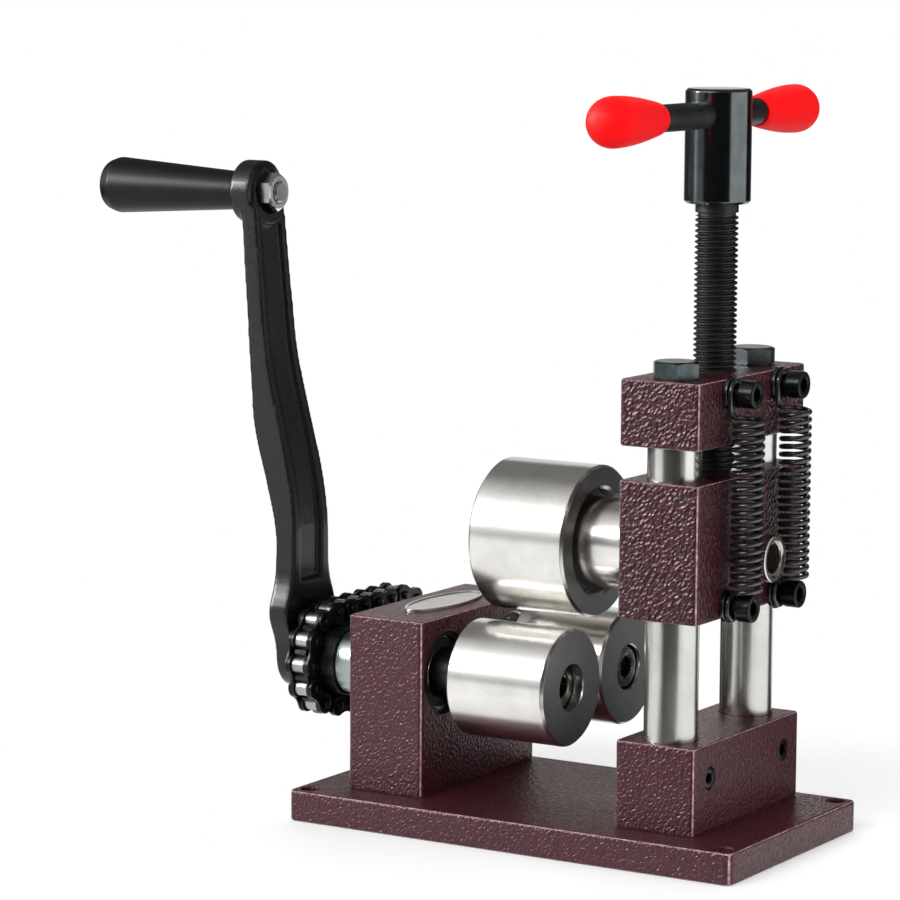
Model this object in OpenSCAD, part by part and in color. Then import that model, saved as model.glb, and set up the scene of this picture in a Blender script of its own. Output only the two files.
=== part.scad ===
// Hand cranked bracelet bending machine with three rollers.
// Origin at the centre of the base's underside, X along the roller axes,
// Y away from the operator, Z up. All sizes are in millimetres.

/* [Base plate] */
// Length of the base along the roller axes
base_l = 190; // [180:1:220]
// Depth of the base
base_w = 104; // [100:1:130]
// Thickness of the base
base_t = 12; // [9:0.5:16]
// Radius of the base's upright corners
base_corner_r = 3; // [1:0.5:6]
// Spacing of the bench holes along X
bench_hole_dx = 178; // [170:1:182]
// Spacing of the bench holes along Y
bench_hole_dy = 92; // [88:1:94]
// Radius of a bench hole
bench_hole_r = 3.5; // [2.5:0.25:4]

/* [Blocks] */
// Y of the mechanism's middle plane
mech_y = 5.5; // [0:0.5:8]
// Depth of the three post blocks along Y
block_w = 85; // [84:1:90]
// Wall of the bearing housing beside each lower bearing
housing_wall = 2.7; // [2.5:0.1:4]
// Thickness of the three post blocks along X
post_t = 33; // [32:0.5:36]
// X of the columns and the feed screw
post_x = 55.5; // [52:0.5:60]
// Upright corner radius of the blocks
block_r = 2; // [1:0.5:4]
// Top of the foot block
foot_top = 44.5; // [40:0.5:48]
// Height of the axle above the carriage's underside
axle_up = 20; // [18:0.1:22]
// Height of the sliding carriage
carriage_h = 51; // [48:0.5:52]
// Underside of the crosshead
crosshead_z0 = 153.2; // [153:0.1:160]
// Height of the crosshead
crosshead_h = 24.5; // [22:0.5:30]
// X of the bearing housing's middle
housing_x = -61; // [-64:0.5:-60]
// Top of the bearing housing
housing_top = 79.5; // [78:0.5:84]

/* [Columns] */
// Column radius
column_r = 10; // [9:0.5:10]
// Distance of each column from the end of its block
column_edge = 12.5; // [12:0.5:14]
// Web left under a column in the foot block
column_web = 2; // [1:0.5:4]
// Depth of the column's bore in the crosshead
column_bore_h = 16.5; // [12:0.5:18]

/* [Rollers] */
// Height of the two lower roller axes
lower_z = 57.5; // [57:0.1:58]
// Radius of the lower rollers
lower_r = 22.25; // [20:0.25:22.5]
// Length of the lower rollers
lower_l = 42; // [40:0.5:42]
// Left end of the front roller
front_x0 = -32; // [-33:0.5:-31]
// Left end of the rear roller
rear_x0 = -34; // [-35:0.5:-33]
// X of the screw seat in the front roller
front_seat_x = -4; // [-5:0.5:-3]
// X of the screw seat in the rear roller
rear_seat_x = -3; // [-4:0.5:-2]
// Height of the upper roller axis at rest
upper_z = 109.7; // [109:0.1:111]
// Radius of the upper roller
upper_r = 29; // [27:0.5:29]
// Left end of the upper roller
upper_x0 = -33; // [-34:0.5:-32]
// Length of the upper roller
upper_l = 41; // [40:0.5:42]
// Radius of the upper roller's end recess
recess_r = 20; // [18.5:0.5:24]
// Depth of the upper roller's end recess
recess_h = 6; // [4:0.5:8]
// Radius of the hub between the upper roller and the carriage
hub_r = 17; // [14:0.5:18]
// Radius of the upper axle in the carriage
axle_r = 7; // [6:0.5:8]
// Outer radius of the carriage's axle bush
bush_r = 10; // [9.5:0.5:12]
// Outer radius of the axle's end collar
collar_r = 8.8; // [8:0.2:10]
// Length of the axle's end collar
collar_l = 9.7; // [8:0.1:12]
// Roller edge chamfer
roller_chamfer = 1; // [0.5:0.1:2]

/* [Lower shafts] */
// Radius of the lower shafts
shaft_r = 7.5; // [7:0.5:7.5]
// Radius of the shaft shoulder beside each roller
shoulder_r = 10; // [9.6:0.1:10.5]
// Left end of the rear shaft
rear_shaft_x0 = -104; // [-105:0.5:-102]
// Outer radius of a ball bearing
bearing_r = 16; // [15.5:0.5:16]
// Width of a ball bearing
bearing_w = 9; // [8:0.5:10]
// Depth of the retaining ring groove below each housing face
clip_inset = 1.5; // [1:0.25:2.5]
// Thickness of a retaining ring
clip_t = 1.2; // [1:0.1:1.5]

/* [Chain drive] */
// Chain pitch
chain_p = 9.525; // [9.525]
// Teeth on each sprocket
teeth = 12; // [12]
// Straight run in pitches between the two shafts
run_pitches = 5; // [5]
// X of the chain's middle plane
chain_x = -99; // [-99.5:0.25:-98.5]
// Radius of a chain roller
chain_roller_r = 3.175; // [3.175]
// Half height of a chain plate
plate_r = 4.1; // [4:0.05:4.13]
// Width of a sprocket's disc
tooth_w = 5.2; // [5:0.1:5.3]
// Gap between the chain's rollers and the sprocket's root disc
root_gap = 0.3; // [0.3:0.1:1]
// Radius of a sprocket's boss
boss_r = 13.5; // [12:0.25:13.75]
// Right end of the sprocket's boss
boss_x1 = -88; // [-89:0.5:-87]
// Outer radius of the spacer beside the housing
spacer_r = 12.25; // [11:0.25:13]

/* [Crank] */
// Crank length from shaft to handle
crank_l = 180; // [170:1:190]
// Radius of the crank's lower end
crank_hub_r = 12.1; // [12:0.1:14]
// Right face of the crank at the shaft
crank_x1 = -106.8; // [-107.5:0.1:-106.6]
// Left face of the crank at the shaft
crank_x0 = -115.4; // [-117:0.1:-115]
// Half width of the crank's widest place
flare_w = 17.4; // [15:0.2:19]
// Radius of the boss that carries the handle
handle_boss_r = 12.1; // [11:0.1:13]
// Width across the flats of the shaft's square end
square_w = 11; // [10:0.5:11]
// Handle radius at the crank
handle_r0 = 7.3; // [6.8:0.1:8]
// Handle radius at the outer end
handle_r1 = 11; // [10:0.1:12]
// Length of the handle
handle_l = 62.3; // [58:0.1:66]
// Shank radius of the handle's axle
handle_axle_r = 4.5; // [4.2:0.1:5]

/* [Feed screw] */
// Thread radius of the feed screw
screw_r = 8; // [7:0.5:8]
// Lead of the feed screw
screw_lead = 2; // [2]
// Radius of the screw's end journal
journal_r = 6; // [5:0.5:6.5]
// Top of the threaded length
thread_top = 235; // [230:0.5:238]
// Underside of the screw head
head_z0 = 239.5; // [238:0.5:242]
// Top of the screw head
head_z1 = 281.5; // [280:0.5:285]
// Radius of the screw head
head_r = 12.3; // [11:0.1:13]
// Distance of the cross bar below the head's top
bar_down = 9.5; // [8.5:0.5:16]
// Radius of the cross bar
bar_r = 5; // [4:0.25:5]
// Inner end of the near grip
grip_y0 = -42; // [-44:0.5:-40]
// Inner end of the far grip
grip_y1 = 36; // [34:0.5:38]
// Length of a grip
grip_l = 43; // [38:0.5:46]
// Grip radius at its inner end
grip_r0 = 6.3; // [6:0.1:7]
// Grip radius at its outer end
grip_r1 = 9.2; // [8.5:0.1:10]

/* [Springs] */
// Outer radius of a return spring
spring_r = 6.1; // [5.5:0.1:6.2]
// Radius of the spring wire
wire_r = 0.75; // [0.6:0.05:0.8]
// Turns of a spring
spring_turns = 22; // [16:1:24]
// X of the spring axes
spring_x = 79.8; // [79.6:0.1:81]
// Distance of each spring from its column towards the middle
spring_in = 11; // [10.5:0.1:11.5]
// Distance of the upper spring screws below the crosshead's top
hook_down = 5.4; // [5.2:0.1:8]
// Height of the lower spring screws above the carriage's underside
hook_up = 4.2; // [4:0.1:6]
// Distance of a spring screw's head from the block face
hook_grip = 5.3; // [4.5:0.1:6]

/* [Fits] */
// Radial clearance of a running or threaded fit
run_fit = 0.05; // [0.02:0.01:0.1]
// Radial clearance of a seated fit
seat_fit = 0.02; // [0.01:0.01:0.03]

/* [Hidden] */
$fn = 72;
eps = 0.5;
end_gap = 0.3;

// Block limits
post_x0 = post_x - post_t / 2;
post_x1 = post_x + post_t / 2;
block_y0 = mech_y - block_w / 2;
block_y1 = mech_y + block_w / 2;
column_dy = block_w / 2 - column_edge;
spring_dy = column_dy - spring_in;
foot_screw_in = 18;
foot_screw_dy = column_dy - foot_screw_in;
housing_x0 = housing_x - post_t / 2;
housing_x1 = housing_x + post_t / 2;
carriage_z0 = upper_z - axle_up;
carriage_z1 = carriage_z0 + carriage_h;
crosshead_z1 = crosshead_z0 + crosshead_h;
hook_top_z = crosshead_z1 - hook_down;
hook_low_z = carriage_z0 + hook_up;
bar_z = head_z1 - bar_down;
column_z0 = base_t + column_web;
column_z1 = crosshead_z0 + column_bore_h - run_fit;

// Chain geometry
chain_c = run_pitches * chain_p;
front_y = mech_y - chain_c / 2;
rear_y = mech_y + chain_c / 2;
housing_w = chain_c + 2 * (bearing_r + housing_wall);
housing_y0 = mech_y - housing_w / 2;
housing_y1 = mech_y + housing_w / 2;
housing_screw_in = 18.5;
housing_screw_dy = housing_w / 2 - housing_screw_in;
pitch_r = chain_p / 2 / sin(180 / teeth);
wrap = teeth / 2;
half_tooth = tooth_w / 2;
root_r = pitch_r - chain_roller_r - root_gap;
plate_in_x = 2.9;
plate_in_t = 1.3;
plate_out_x = 4.3;
plate_out_t = 1;
pin_r = 1.64;
pin_x = 6.5;
chain_bush_r = 2.5;
chain_roller_x = 2.8;

// Bearing seats
bearing_in = clip_inset + clip_t + 0.2;
ring_r = 13.4;
shield_r = 9.75;
inner_r = 9.4;
shield_t = 0.8;
shield_in = 0.4;
middle_bore_r = 13;
clip_out_r = bearing_r + 0.6;
clip_in_r = 14;

// Standard screws: M4, M5, M6, M8 and M10
m4_r = 2;
m5_r = 2.5;
m6_r = 3;
m8_r = 4;
m10_r = 5;
m6_head_r = 5.1;
m6_head_h = 6;
m6_key = 5;
m8_key = 4;
m8_sink_r = 8.2;
base_screw_l = 13;
crank_screw_l = 22;
m8_nut_w = 13;
m8_nut_h = 6.5;
m10_head_r = 8;
m10_head_h = 10;
m10_key = 8;
m10_hex_w = 16;
m10_hex_h = 6.4;
roller_web = 5;
screw_depth = 11;
upper_screw_l = 16;
counterbore_r = 8.75;
key_w = 5;
key_h = 5;
key_l = 10;
key_in = 1;
key_sink = 3;

// Crank arm shape
arm_z0 = lower_z;
arm_z1 = lower_z + crank_l;
flare_z = lower_z + 18.5;
flare_s = 9.5;
arm_w0 = 12.85;
arm_w1 = 9.9;
arm_steps = 48;
web_t = 4;
handle_reach = 22;
handle_face_x = crank_x0 - handle_reach;
nut_seat_x = handle_face_x + 8.9;
washer_t = 2;
handle_x1 = handle_face_x - washer_t - end_gap;
handle_x0 = handle_x1 - handle_l;
axle_head_r = 6.2;
axle_head_l = 5;
axle_end_x = handle_x0 + 9;

// Feed screw ends
socket_z0 = carriage_z1 - 12.7;
head_chamfer = 1;
journal_z0 = socket_z0 + end_gap;

// Spring path
coil_r = spring_r - wire_r;
coil_top_z = hook_top_z - 8.8;
coil_low_z = hook_low_z + 5.6;
loop_r = 4.75;
wire_sides = 6;
turn_steps = 12;
washer_r = 6.2;
spring_washer_t = 1.6;
hook_depth = 8;

function smooth(t) = let (u = min(1, max(0, t))) u * u * (3 - 2 * u);
function bump(z) = exp(-pow((z - flare_z) / flare_s, 2));
function taper(z) = arm_w0 + (arm_w1 - arm_w0) * (z - flare_z) / (arm_z1 - flare_z);
function arm_half(z) = z < flare_z
  ? crank_hub_r + (flare_w - crank_hub_r) * bump(z)
  : taper(z) + (flare_w - arm_w0) * bump(z);
function arm_out(z) = crank_x0
  - 0.08 * max(0, z - arm_z0 - 46.5) - 7.6 * smooth((z - arm_z0 - 46.5) / 51);
function arm_in(z) = crank_x1
  - 0.098 * max(0, z - arm_z0 - 52.5) - 7.6 * smooth((z - arm_z0 - 57.5) / 70);

// Round bar along X from x0 to x1
module x_bar(x0, x1, r, y, z) {
  translate([x0, y, z]) rotate([0, 90, 0]) cylinder(h = x1 - x0, r = r);
}

// Cone along X from radius r0 at x0 to radius r1 at x1
module x_cone(x0, x1, r0, r1, y, z) {
  translate([x0, y, z]) rotate([0, 90, 0]) cylinder(h = x1 - x0, r1 = r0, r2 = r1);
}

// Round bar along Y from y0 to y1
module y_bar(y0, y1, r, x, z) {
  translate([x, y0, z]) rotate([-90, 0, 0]) cylinder(h = y1 - y0, r = r);
}

// Round bar along Z from z0 to z1
module z_bar(z0, z1, r, x, y) {
  translate([x, y, z0]) cylinder(h = z1 - z0, r = r);
}

// Hexagonal prism along Z, w across the flats, turned by a
module z_hex(z0, z1, w, x, y, a = 0) {
  translate([x, y, z0]) rotate([0, 0, a]) cylinder(h = z1 - z0, r = w / sqrt(3), $fn = 6);
}

// Hexagonal prism along X
module x_hex(x0, x1, w, y, z) {
  translate([x0, y, z]) rotate([0, 90, 0]) cylinder(h = x1 - x0, r = w / sqrt(3), $fn = 6);
}

// Upright block with rounded upright corners
module block(x0, x1, y0, y1, z0, z1, r) {
  translate([0, 0, z0]) linear_extrude(z1 - z0) union() {
    translate([x0 + r, y0]) square([x1 - x0 - 2 * r, y1 - y0]);
    translate([x0, y0 + r]) square([x1 - x0, y1 - y0 - 2 * r]);
    for (x = [x0 + r, x1 - r], y = [y0 + r, y1 - r]) translate([x, y]) circle(r);
  }
}

// Socket head cap screw along X, its head on the right and its seat at x
module cap_screw(x, y, z, r, length, head, h, key) {
  difference() {
    union() {
      x_bar(x - length, x + h / 2, r, y, z);
      x_bar(x, x + h, head, y, z);
    }
    x_hex(x + h / 2, x + h + eps, key, y, z);
  }
}

module base_plate() {
  color("#4f2c30") difference() {
    block(-base_l / 2, base_l / 2, -base_w / 2, base_w / 2, 0, base_t, base_corner_r);
    for (x = [-1, 1], y = [-1, 1])
      z_bar(-eps, base_t + eps, bench_hole_r, x * bench_hole_dx / 2, y * bench_hole_dy / 2);
    at_base_screws() base_screw_hole();
  }
}

// Places of the four screws that hold the housing and the foot
module at_base_screws() {
  for (s = [-1, 1]) {
    translate([housing_x, mech_y + s * housing_screw_dy, 0]) children();
    translate([post_x, mech_y + s * foot_screw_dy, 0]) children();
  }
}

module base_screw_hole() {
  z_bar(-eps, base_t + eps, m6_r + run_fit, 0, 0);
  translate([0, 0, -eps]) cylinder(h = 4 + eps, r1 = 7 + eps, r2 = m6_r);
}

module base_screws() {
  color("#2b2b2d") at_base_screws() difference() {
    union() {
      z_bar(0.3, base_t + base_screw_l, m6_r, 0, 0);
      translate([0, 0, 0.3]) cylinder(h = 3.5, r1 = 6.5, r2 = m6_r);
    }
    z_hex(0, 2.5, m8_key, 0, 0);
  }
}

// Bearing seat, retaining ring groove and lead-in at one housing face
module bearing_seat(y, face, side) {
  mirror([side < 0 ? 1 : 0, 0, 0]) {
    x = side * face;
    x_bar(x - bearing_in - bearing_w, x + eps, bearing_r + seat_fit, y, lower_z);
    x_bar(x - clip_inset - clip_t - 0.05, x - clip_inset + 0.05, clip_out_r + 0.1, y, lower_z);
    x_cone(x - 0.7, x + 0.01, bearing_r, bearing_r + 0.7, y, lower_z);
  }
}

module bearing_housing() {
  color("#4f2c30") difference() {
    block(housing_x0, housing_x1, housing_y0, housing_y1, base_t, housing_top, block_r);
    for (y = [front_y, rear_y]) {
      bearing_seat(y, housing_x0, -1);
      bearing_seat(y, housing_x1, 1);
      x_bar(housing_x0, housing_x1, middle_bore_r, y, lower_z);
    }
    for (s = [-1, 1])
      z_bar(base_t - eps, base_t + base_screw_l + 1, m6_r + run_fit,
            housing_x, mech_y + s * housing_screw_dy);
  }
}

// Blank oval badge with a raised rim
badge_a = 25;
badge_b = 9;
badge_steps = 48;
function oval(a, b) = [for (i = [0:badge_steps - 1]) let (q = i * 360 / badge_steps) [b * cos(q), a * sin(q)]];

module badge_plate() {
  color("#b9b9b6") translate([housing_x, mech_y, housing_top]) difference() {
    linear_extrude(1) polygon(oval(badge_a, badge_b));
    translate([0, 0, 0.6]) linear_extrude(1) polygon(oval(badge_a - 1, badge_b - 1));
  }
}

// Outer ring and shields of one sealed ball bearing, its outer face at x
module bearing_outer(x, side, y) {
  mirror([side < 0 ? 1 : 0, 0, 0]) {
    x1 = side * x - bearing_in;
    x0 = x1 - bearing_w;
    difference() {
      x_bar(x0, x1, bearing_r, y, lower_z);
      x_bar(x0 - eps, x1 + eps, shield_r, y, lower_z);
      x_bar(x0 + shield_in + shield_t, x1 - shield_in - shield_t, ring_r, y, lower_z);
      x_bar(x0 - eps, x0 + shield_in, ring_r, y, lower_z);
      x_bar(x1 - shield_in, x1 + eps, ring_r, y, lower_z);
    }
  }
}

module bearing_pair(y) {
  bearing_outer(housing_x0, -1, y);
  bearing_outer(housing_x1, 1, y);
}

module front_bearing_outer() {
  color("#9a9a98") bearing_pair(front_y);
}

module rear_bearing_outer() {
  color("#9a9a98") bearing_pair(rear_y);
}

// Inner rings of the two bearings on one shaft
module inner_pair(y) {
  for (x = [housing_x0 + bearing_in, housing_x1 - bearing_in - bearing_w]) difference() {
    x_bar(x, x + bearing_w, inner_r, y, lower_z);
    x_bar(x - eps, x + bearing_w + eps, shaft_r + seat_fit, y, lower_z);
  }
}

module front_bearing_inner() {
  color("#9a9a98") inner_pair(front_y);
}

module rear_bearing_inner() {
  color("#9a9a98") inner_pair(rear_y);
}

// Retaining ring with its gap at the bottom
module clip(x, y) {
  difference() {
    x_bar(x, x + clip_t, clip_out_r, y, lower_z);
    x_bar(x - eps, x + clip_t + eps, clip_in_r, y, lower_z);
    translate([x - eps, y - 4, lower_z - clip_out_r - eps]) cube([clip_t + 2 * eps, 8, clip_out_r]);
  }
}

module bearing_clips() {
  color("#1d1d1f") for (y = [front_y, rear_y]) {
    clip(housing_x0 + clip_inset, y);
    clip(housing_x1 - clip_inset - clip_t, y);
  }
}

module foot_block() {
  color("#4f2c30") difference() {
    block(post_x0, post_x1, block_y0, block_y1, base_t, foot_top, block_r);
    for (s = [-1, 1]) {
      z_bar(column_z0, foot_top + eps, column_r + seat_fit, post_x, mech_y + s * column_dy);
      x_bar(post_x, post_x1 + eps, m8_r + run_fit, mech_y + s * column_dy, setscrew_z);
      z_bar(base_t - eps, base_t + base_screw_l + 1, m6_r + run_fit,
            post_x, mech_y + s * foot_screw_dy);
    }
  }
}

setscrew_z = 31.7;

module foot_setscrews() {
  color("#232325") for (s = [-1, 1]) difference() {
    x_bar(post_x + column_r + 0.1, post_x1 - 0.4, m8_r, mech_y + s * column_dy, setscrew_z);
    x_hex(post_x1 - 3.4, post_x1, m8_key, mech_y + s * column_dy, setscrew_z);
  }
}

module column(y) {
  color("#d9d9d6") difference() {
    z_bar(column_z0, column_z1, column_r, post_x, y);
    z_bar(column_z1 - 21, column_z1 + eps, m10_r + run_fit, post_x, y);
  }
}

module column_front() {
  column(mech_y - column_dy);
}

module column_rear() {
  column(mech_y + column_dy);
}

// Threaded holes for two spring screws in the right face of a block
module hook_holes(z) {
  for (s = [-1, 1])
    x_bar(post_x1 - hook_depth, post_x1 + eps, m6_r + run_fit, mech_y + s * spring_dy, z);
}

module crosshead() {
  color("#4f2c30") difference() {
    block(post_x0, post_x1, block_y0, block_y1, crosshead_z0, crosshead_z1, block_r);
    z_bar(crosshead_z0 - eps, crosshead_z1 + eps, screw_r + run_fit, post_x, mech_y);
    for (s = [-1, 1]) {
      z_bar(crosshead_z0 - eps, crosshead_z0 + column_bore_h, column_r + seat_fit,
            post_x, mech_y + s * column_dy);
      z_bar(crosshead_z0, crosshead_z1 + eps, m10_r + 0.5, post_x, mech_y + s * column_dy);
    }
    hook_holes(hook_top_z);
  }
}

module column_bolt(y, a) {
  color("#1f1f21") {
    z_hex(crosshead_z1, crosshead_z1 + m10_hex_h, m10_hex_w, post_x, y, a);
    z_bar(column_z1 - 19, crosshead_z1 + 1, m10_r, post_x, y);
  }
}

module column_bolt_front() {
  column_bolt(mech_y - column_dy, -58.5);
}

module column_bolt_rear() {
  column_bolt(mech_y + column_dy, -73);
}

module spring_screws(z) {
  color("#232325") for (s = [-1, 1])
    cap_screw(post_x1 + hook_grip, mech_y + s * spring_dy, z, m6_r,
              hook_grip + hook_depth - 0.3, m6_head_r, m6_head_h, m6_key);
}

module spring_washers(z) {
  color("#6c6c6b") for (s = [-1, 1]) difference() {
    x_bar(post_x1, post_x1 + spring_washer_t, washer_r, mech_y + s * spring_dy, z);
    x_bar(post_x1 - eps, post_x1 + spring_washer_t + eps, m6_r + run_fit, mech_y + s * spring_dy, z);
  }
}

module upper_spring_screws() {
  spring_screws(hook_top_z);
}

module upper_spring_washers() {
  spring_washers(hook_top_z);
}

module lower_spring_screws() {
  spring_screws(hook_low_z);
}

module lower_spring_washers() {
  spring_washers(hook_low_z);
}

// Wire path of a return spring: top hook, riser, coil, riser, bottom hook
back_x = spring_x - coil_r;
hook_steps = 12;
riser_steps = 4;
coil_pitch = (coil_top_z - coil_low_z) / spring_turns;

function yz_arc(cz, r, a0, a1, n) =
  [for (i = [0:n]) let (a = a0 + (a1 - a0) * i / n) [back_x, r * cos(a), cz + r * sin(a)]];
function coil_points() =
  [for (i = [1:spring_turns * turn_steps - 1])
    let (a = 180 - i * 360 / turn_steps)
    [spring_x + coil_r * cos(a), coil_r * sin(a), coil_top_z - coil_pitch * i / turn_steps]];
function spring_path() = concat(
  yz_arc(hook_top_z, loop_r, -75, 180, hook_steps),
  yz_arc(coil_top_z + loop_r, loop_r, 180, 270, riser_steps),
  coil_points(),
  yz_arc(coil_low_z - loop_r, loop_r, 90, 0, riser_steps),
  yz_arc(hook_low_z, loop_r, 0, -255, hook_steps));

function unit(v) = v / norm(v);
// Reference direction: X along the hooks and Z along the coil
function ref_at(i, n) = let (k = hook_steps + 1, m = riser_steps, t = min(i - k, n - 1 - k - i) / m)
  unit([1 - smooth(t), 0, smooth(t)]);
function ring_at(path, i, r) = let (
    n = len(path),
    t = unit(path[min(i + 1, n - 1)] - path[max(i - 1, 0)]),
    u = unit(cross(t, ref_at(i, n))),
    v = cross(t, u))
  [for (k = [0:wire_sides - 1]) let (a = k * 360 / wire_sides) path[i] + r * (cos(a) * u + sin(a) * v)];

// Tube swept along a path
module sweep(path, r) {
  n = len(path);
  s = wire_sides;
  points = [for (i = [0:n - 1]) each ring_at(path, i, r)];
  sides = [for (i = [0:n - 2], k = [0:s - 1])
    each [[i * s + k, i * s + (k + 1) % s, (i + 1) * s + (k + 1) % s],
          [i * s + k, (i + 1) * s + (k + 1) % s, (i + 1) * s + k]]];
  first = [[for (k = [0:s - 1]) s - 1 - k]];
  last = [[for (k = [0:s - 1]) (n - 1) * s + k]];
  polyhedron(points = points, faces = concat(sides, first, last), convexity = 20);
}

module spring_front() {
  color("#1c1c1e") translate([0, mech_y - spring_dy, 0]) sweep(spring_path(), wire_r);
}

module spring_rear() {
  color("#1c1c1e") translate([0, mech_y + spring_dy, 0]) sweep(spring_path(), wire_r);
}

// Roller places along the closed chain, starting above the front shaft
function chain_points() = concat(
  [for (i = [0:run_pitches]) [front_y + i * chain_p, pitch_r]],
  [for (j = [1:wrap - 1]) let (a = 90 - j * 360 / teeth) [rear_y + pitch_r * cos(a), pitch_r * sin(a)]],
  [for (i = [0:run_pitches]) [rear_y - i * chain_p, -pitch_r]],
  [for (j = [1:wrap - 1]) let (a = 270 - j * 360 / teeth) [front_y + pitch_r * cos(a), pitch_r * sin(a)]]);
links = chain_points();
link_count = len(links);

// Two plates of one link between roller places p and q, each t thick, x off the middle
module plate_pair(p, q, x, t) {
  a = atan2(q[1] - p[1], q[0] - p[0]);
  for (s = [-1, 1])
    translate([chain_x + (s > 0 ? x : -x - t), p[0], p[1] + lower_z]) rotate([90, 0, 90])
      rotate([0, 0, a]) linear_extrude(t) union() {
        circle(plate_r);
        translate([chain_p, 0]) circle(plate_r);
        translate([0, -waist_r]) square([chain_p, 2 * waist_r]);
      }
}

waist_r = 3.1;

module chain_outer_links() {
  color("#232325") for (i = [1:2:link_count - 1]) {
    p = links[i];
    q = links[(i + 1) % link_count];
    union() {
      plate_pair(p, q, plate_out_x, plate_out_t);
      for (c = [p, q]) x_bar(chain_x - pin_x, chain_x + pin_x, pin_r, c[0], c[1] + lower_z);
    }
  }
}

module chain_inner_links() {
  half = plate_in_x + plate_in_t;
  color("#232325") for (i = [0:2:link_count - 1]) {
    p = links[i];
    q = links[(i + 1) % link_count];
    difference() {
      union() {
        plate_pair(p, q, plate_in_x, plate_in_t);
        for (c = [p, q]) x_bar(chain_x - half, chain_x + half, chain_bush_r, c[0], c[1] + lower_z);
      }
      for (c = [p, q])
        x_bar(chain_x - half - eps, chain_x + half + eps, pin_r + 0.1, c[0], c[1] + lower_z);
    }
  }
}

module chain_rollers() {
  color("#8d8d8b") for (p = links) difference() {
    x_bar(chain_x - chain_roller_x, chain_x + chain_roller_x, chain_roller_r, p[0], p[1] + lower_z);
    x_bar(chain_x - chain_roller_x - eps, chain_x + chain_roller_x + eps, chain_bush_r + 0.1,
          p[0], p[1] + lower_z);
  }
}

// Sprocket as a disc up to the root circle, clear of the chain at every angle
module sprocket(y) {
  color("#1f1f21") difference() {
    union() {
      x_bar(chain_x - half_tooth, chain_x + half_tooth, root_r, y, lower_z);
      x_bar(chain_x, boss_x1, boss_r, y, lower_z);
    }
    x_bar(chain_x - half_tooth - eps, boss_x1 + eps, shaft_r + seat_fit, y, lower_z);
    z_bar(lower_z, lower_z + boss_r + 1, m5_r + run_fit, grub_x, y);
  }
}

grub_x = boss_x1 - 3.7;

module front_sprocket() {
  sprocket(front_y);
}

module rear_sprocket() {
  sprocket(rear_y);
}

module sprocket_grub(y) {
  color("#2b2b2d") difference() {
    z_bar(lower_z + shaft_r + 0.1, lower_z + boss_r - 0.6, m5_r, grub_x, y);
    z_hex(lower_z + boss_r - 2.6, lower_z + boss_r, m5_r, grub_x, y);
  }
}

module front_sprocket_grub() {
  sprocket_grub(front_y);
}

module rear_sprocket_grub() {
  sprocket_grub(rear_y);
}

// Spacer between the sprocket and the left bearing's inner ring
module spacer(y) {
  color("#d2d2cf") difference() {
    union() {
      x_bar(boss_x1, housing_x0 - 0.5, spacer_r, y, lower_z);
      x_bar(boss_x1, housing_x0 + bearing_in, inner_r - 0.1, y, lower_z);
    }
    x_bar(boss_x1 - eps, housing_x0 + bearing_in + eps, shaft_r + seat_fit, y, lower_z);
  }
}

module front_spacer() {
  spacer(front_y);
}

module rear_spacer() {
  spacer(rear_y);
}

// Lower shaft from x0 to the roller, with a shoulder, a key slot and a screw hole
module lower_shaft(x0, y, roller_x, seat_x) {
  shoulder_x = housing_x1 - bearing_in;
  end_x = seat_x - roller_web;
  difference() {
    union() {
      x_bar(x0, end_x, shaft_r, y, lower_z);
      x_bar(shoulder_x, shoulder_x + 2, inner_r - 0.1, y, lower_z);
      x_bar(shoulder_x + 2, roller_x, shoulder_r, y, lower_z);
    }
    x_bar(end_x - screw_depth - 0.6, end_x + eps, m10_r + run_fit, y, lower_z);
    translate([roller_x + key_in, y - key_w / 2, lower_z + shaft_r - key_sink])
      cube([key_l, key_w, key_sink + eps]);
  }
}

module roller_key(y, roller_x) {
  color("#8a8a88") translate([roller_x + key_in + run_fit, y - key_w / 2 + run_fit,
    lower_z + shaft_r - key_sink + run_fit])
    cube([key_l - 2 * run_fit, key_w - 2 * run_fit, key_h - 2 * run_fit]);
}

module roller_screw(y, seat_x) {
  color("#232325")
    cap_screw(seat_x, y, lower_z, m10_r, roller_web + screw_depth, m10_head_r, m10_head_h, m10_key);
}

module lower_roller(y, x0, seat_x) {
  x1 = x0 + lower_l;
  web_x = seat_x - roller_web;
  color("#dededb") difference() {
    union() {
      x_bar(x0 + roller_chamfer, x1 - roller_chamfer, lower_r, y, lower_z);
      x_cone(x0, x0 + roller_chamfer, lower_r - roller_chamfer, lower_r, y, lower_z);
      x_cone(x1 - roller_chamfer, x1, lower_r, lower_r - roller_chamfer, y, lower_z);
    }
    x_bar(x0 - eps, web_x, shaft_r + seat_fit, y, lower_z);
    x_bar(x0, x1, m10_r + 0.5, y, lower_z);
    x_bar(seat_x, x1 + eps, counterbore_r, y, lower_z);
    translate([x0 - eps, y - key_w / 2, lower_z])
      cube([key_l + key_in + eps, key_w, shaft_r - key_sink + key_h]);
  }
}

module front_shaft() {
  stub_x = crank_x1 - 4.5;
  color("#3a3a3c") difference() {
    union() {
      lower_shaft(crank_x1, front_y, front_x0, front_seat_x);
      intersection() {
        x_bar(stub_x, crank_x1 + 1, shaft_r, front_y, lower_z);
        translate([stub_x, front_y - square_w / 2, lower_z - square_w / 2])
          cube([6, square_w, square_w]);
      }
    }
    x_bar(stub_x - eps, stub_x + 20, m8_r + run_fit, front_y, lower_z);
  }
}

module rear_shaft() {
  color("#3a3a3c") lower_shaft(rear_shaft_x0, rear_y, rear_x0, rear_seat_x);
}

module front_roller() {
  lower_roller(front_y, front_x0, front_seat_x);
}

module rear_roller() {
  lower_roller(rear_y, rear_x0, rear_seat_x);
}

module front_roller_key() {
  roller_key(front_y, front_x0);
}

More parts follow.
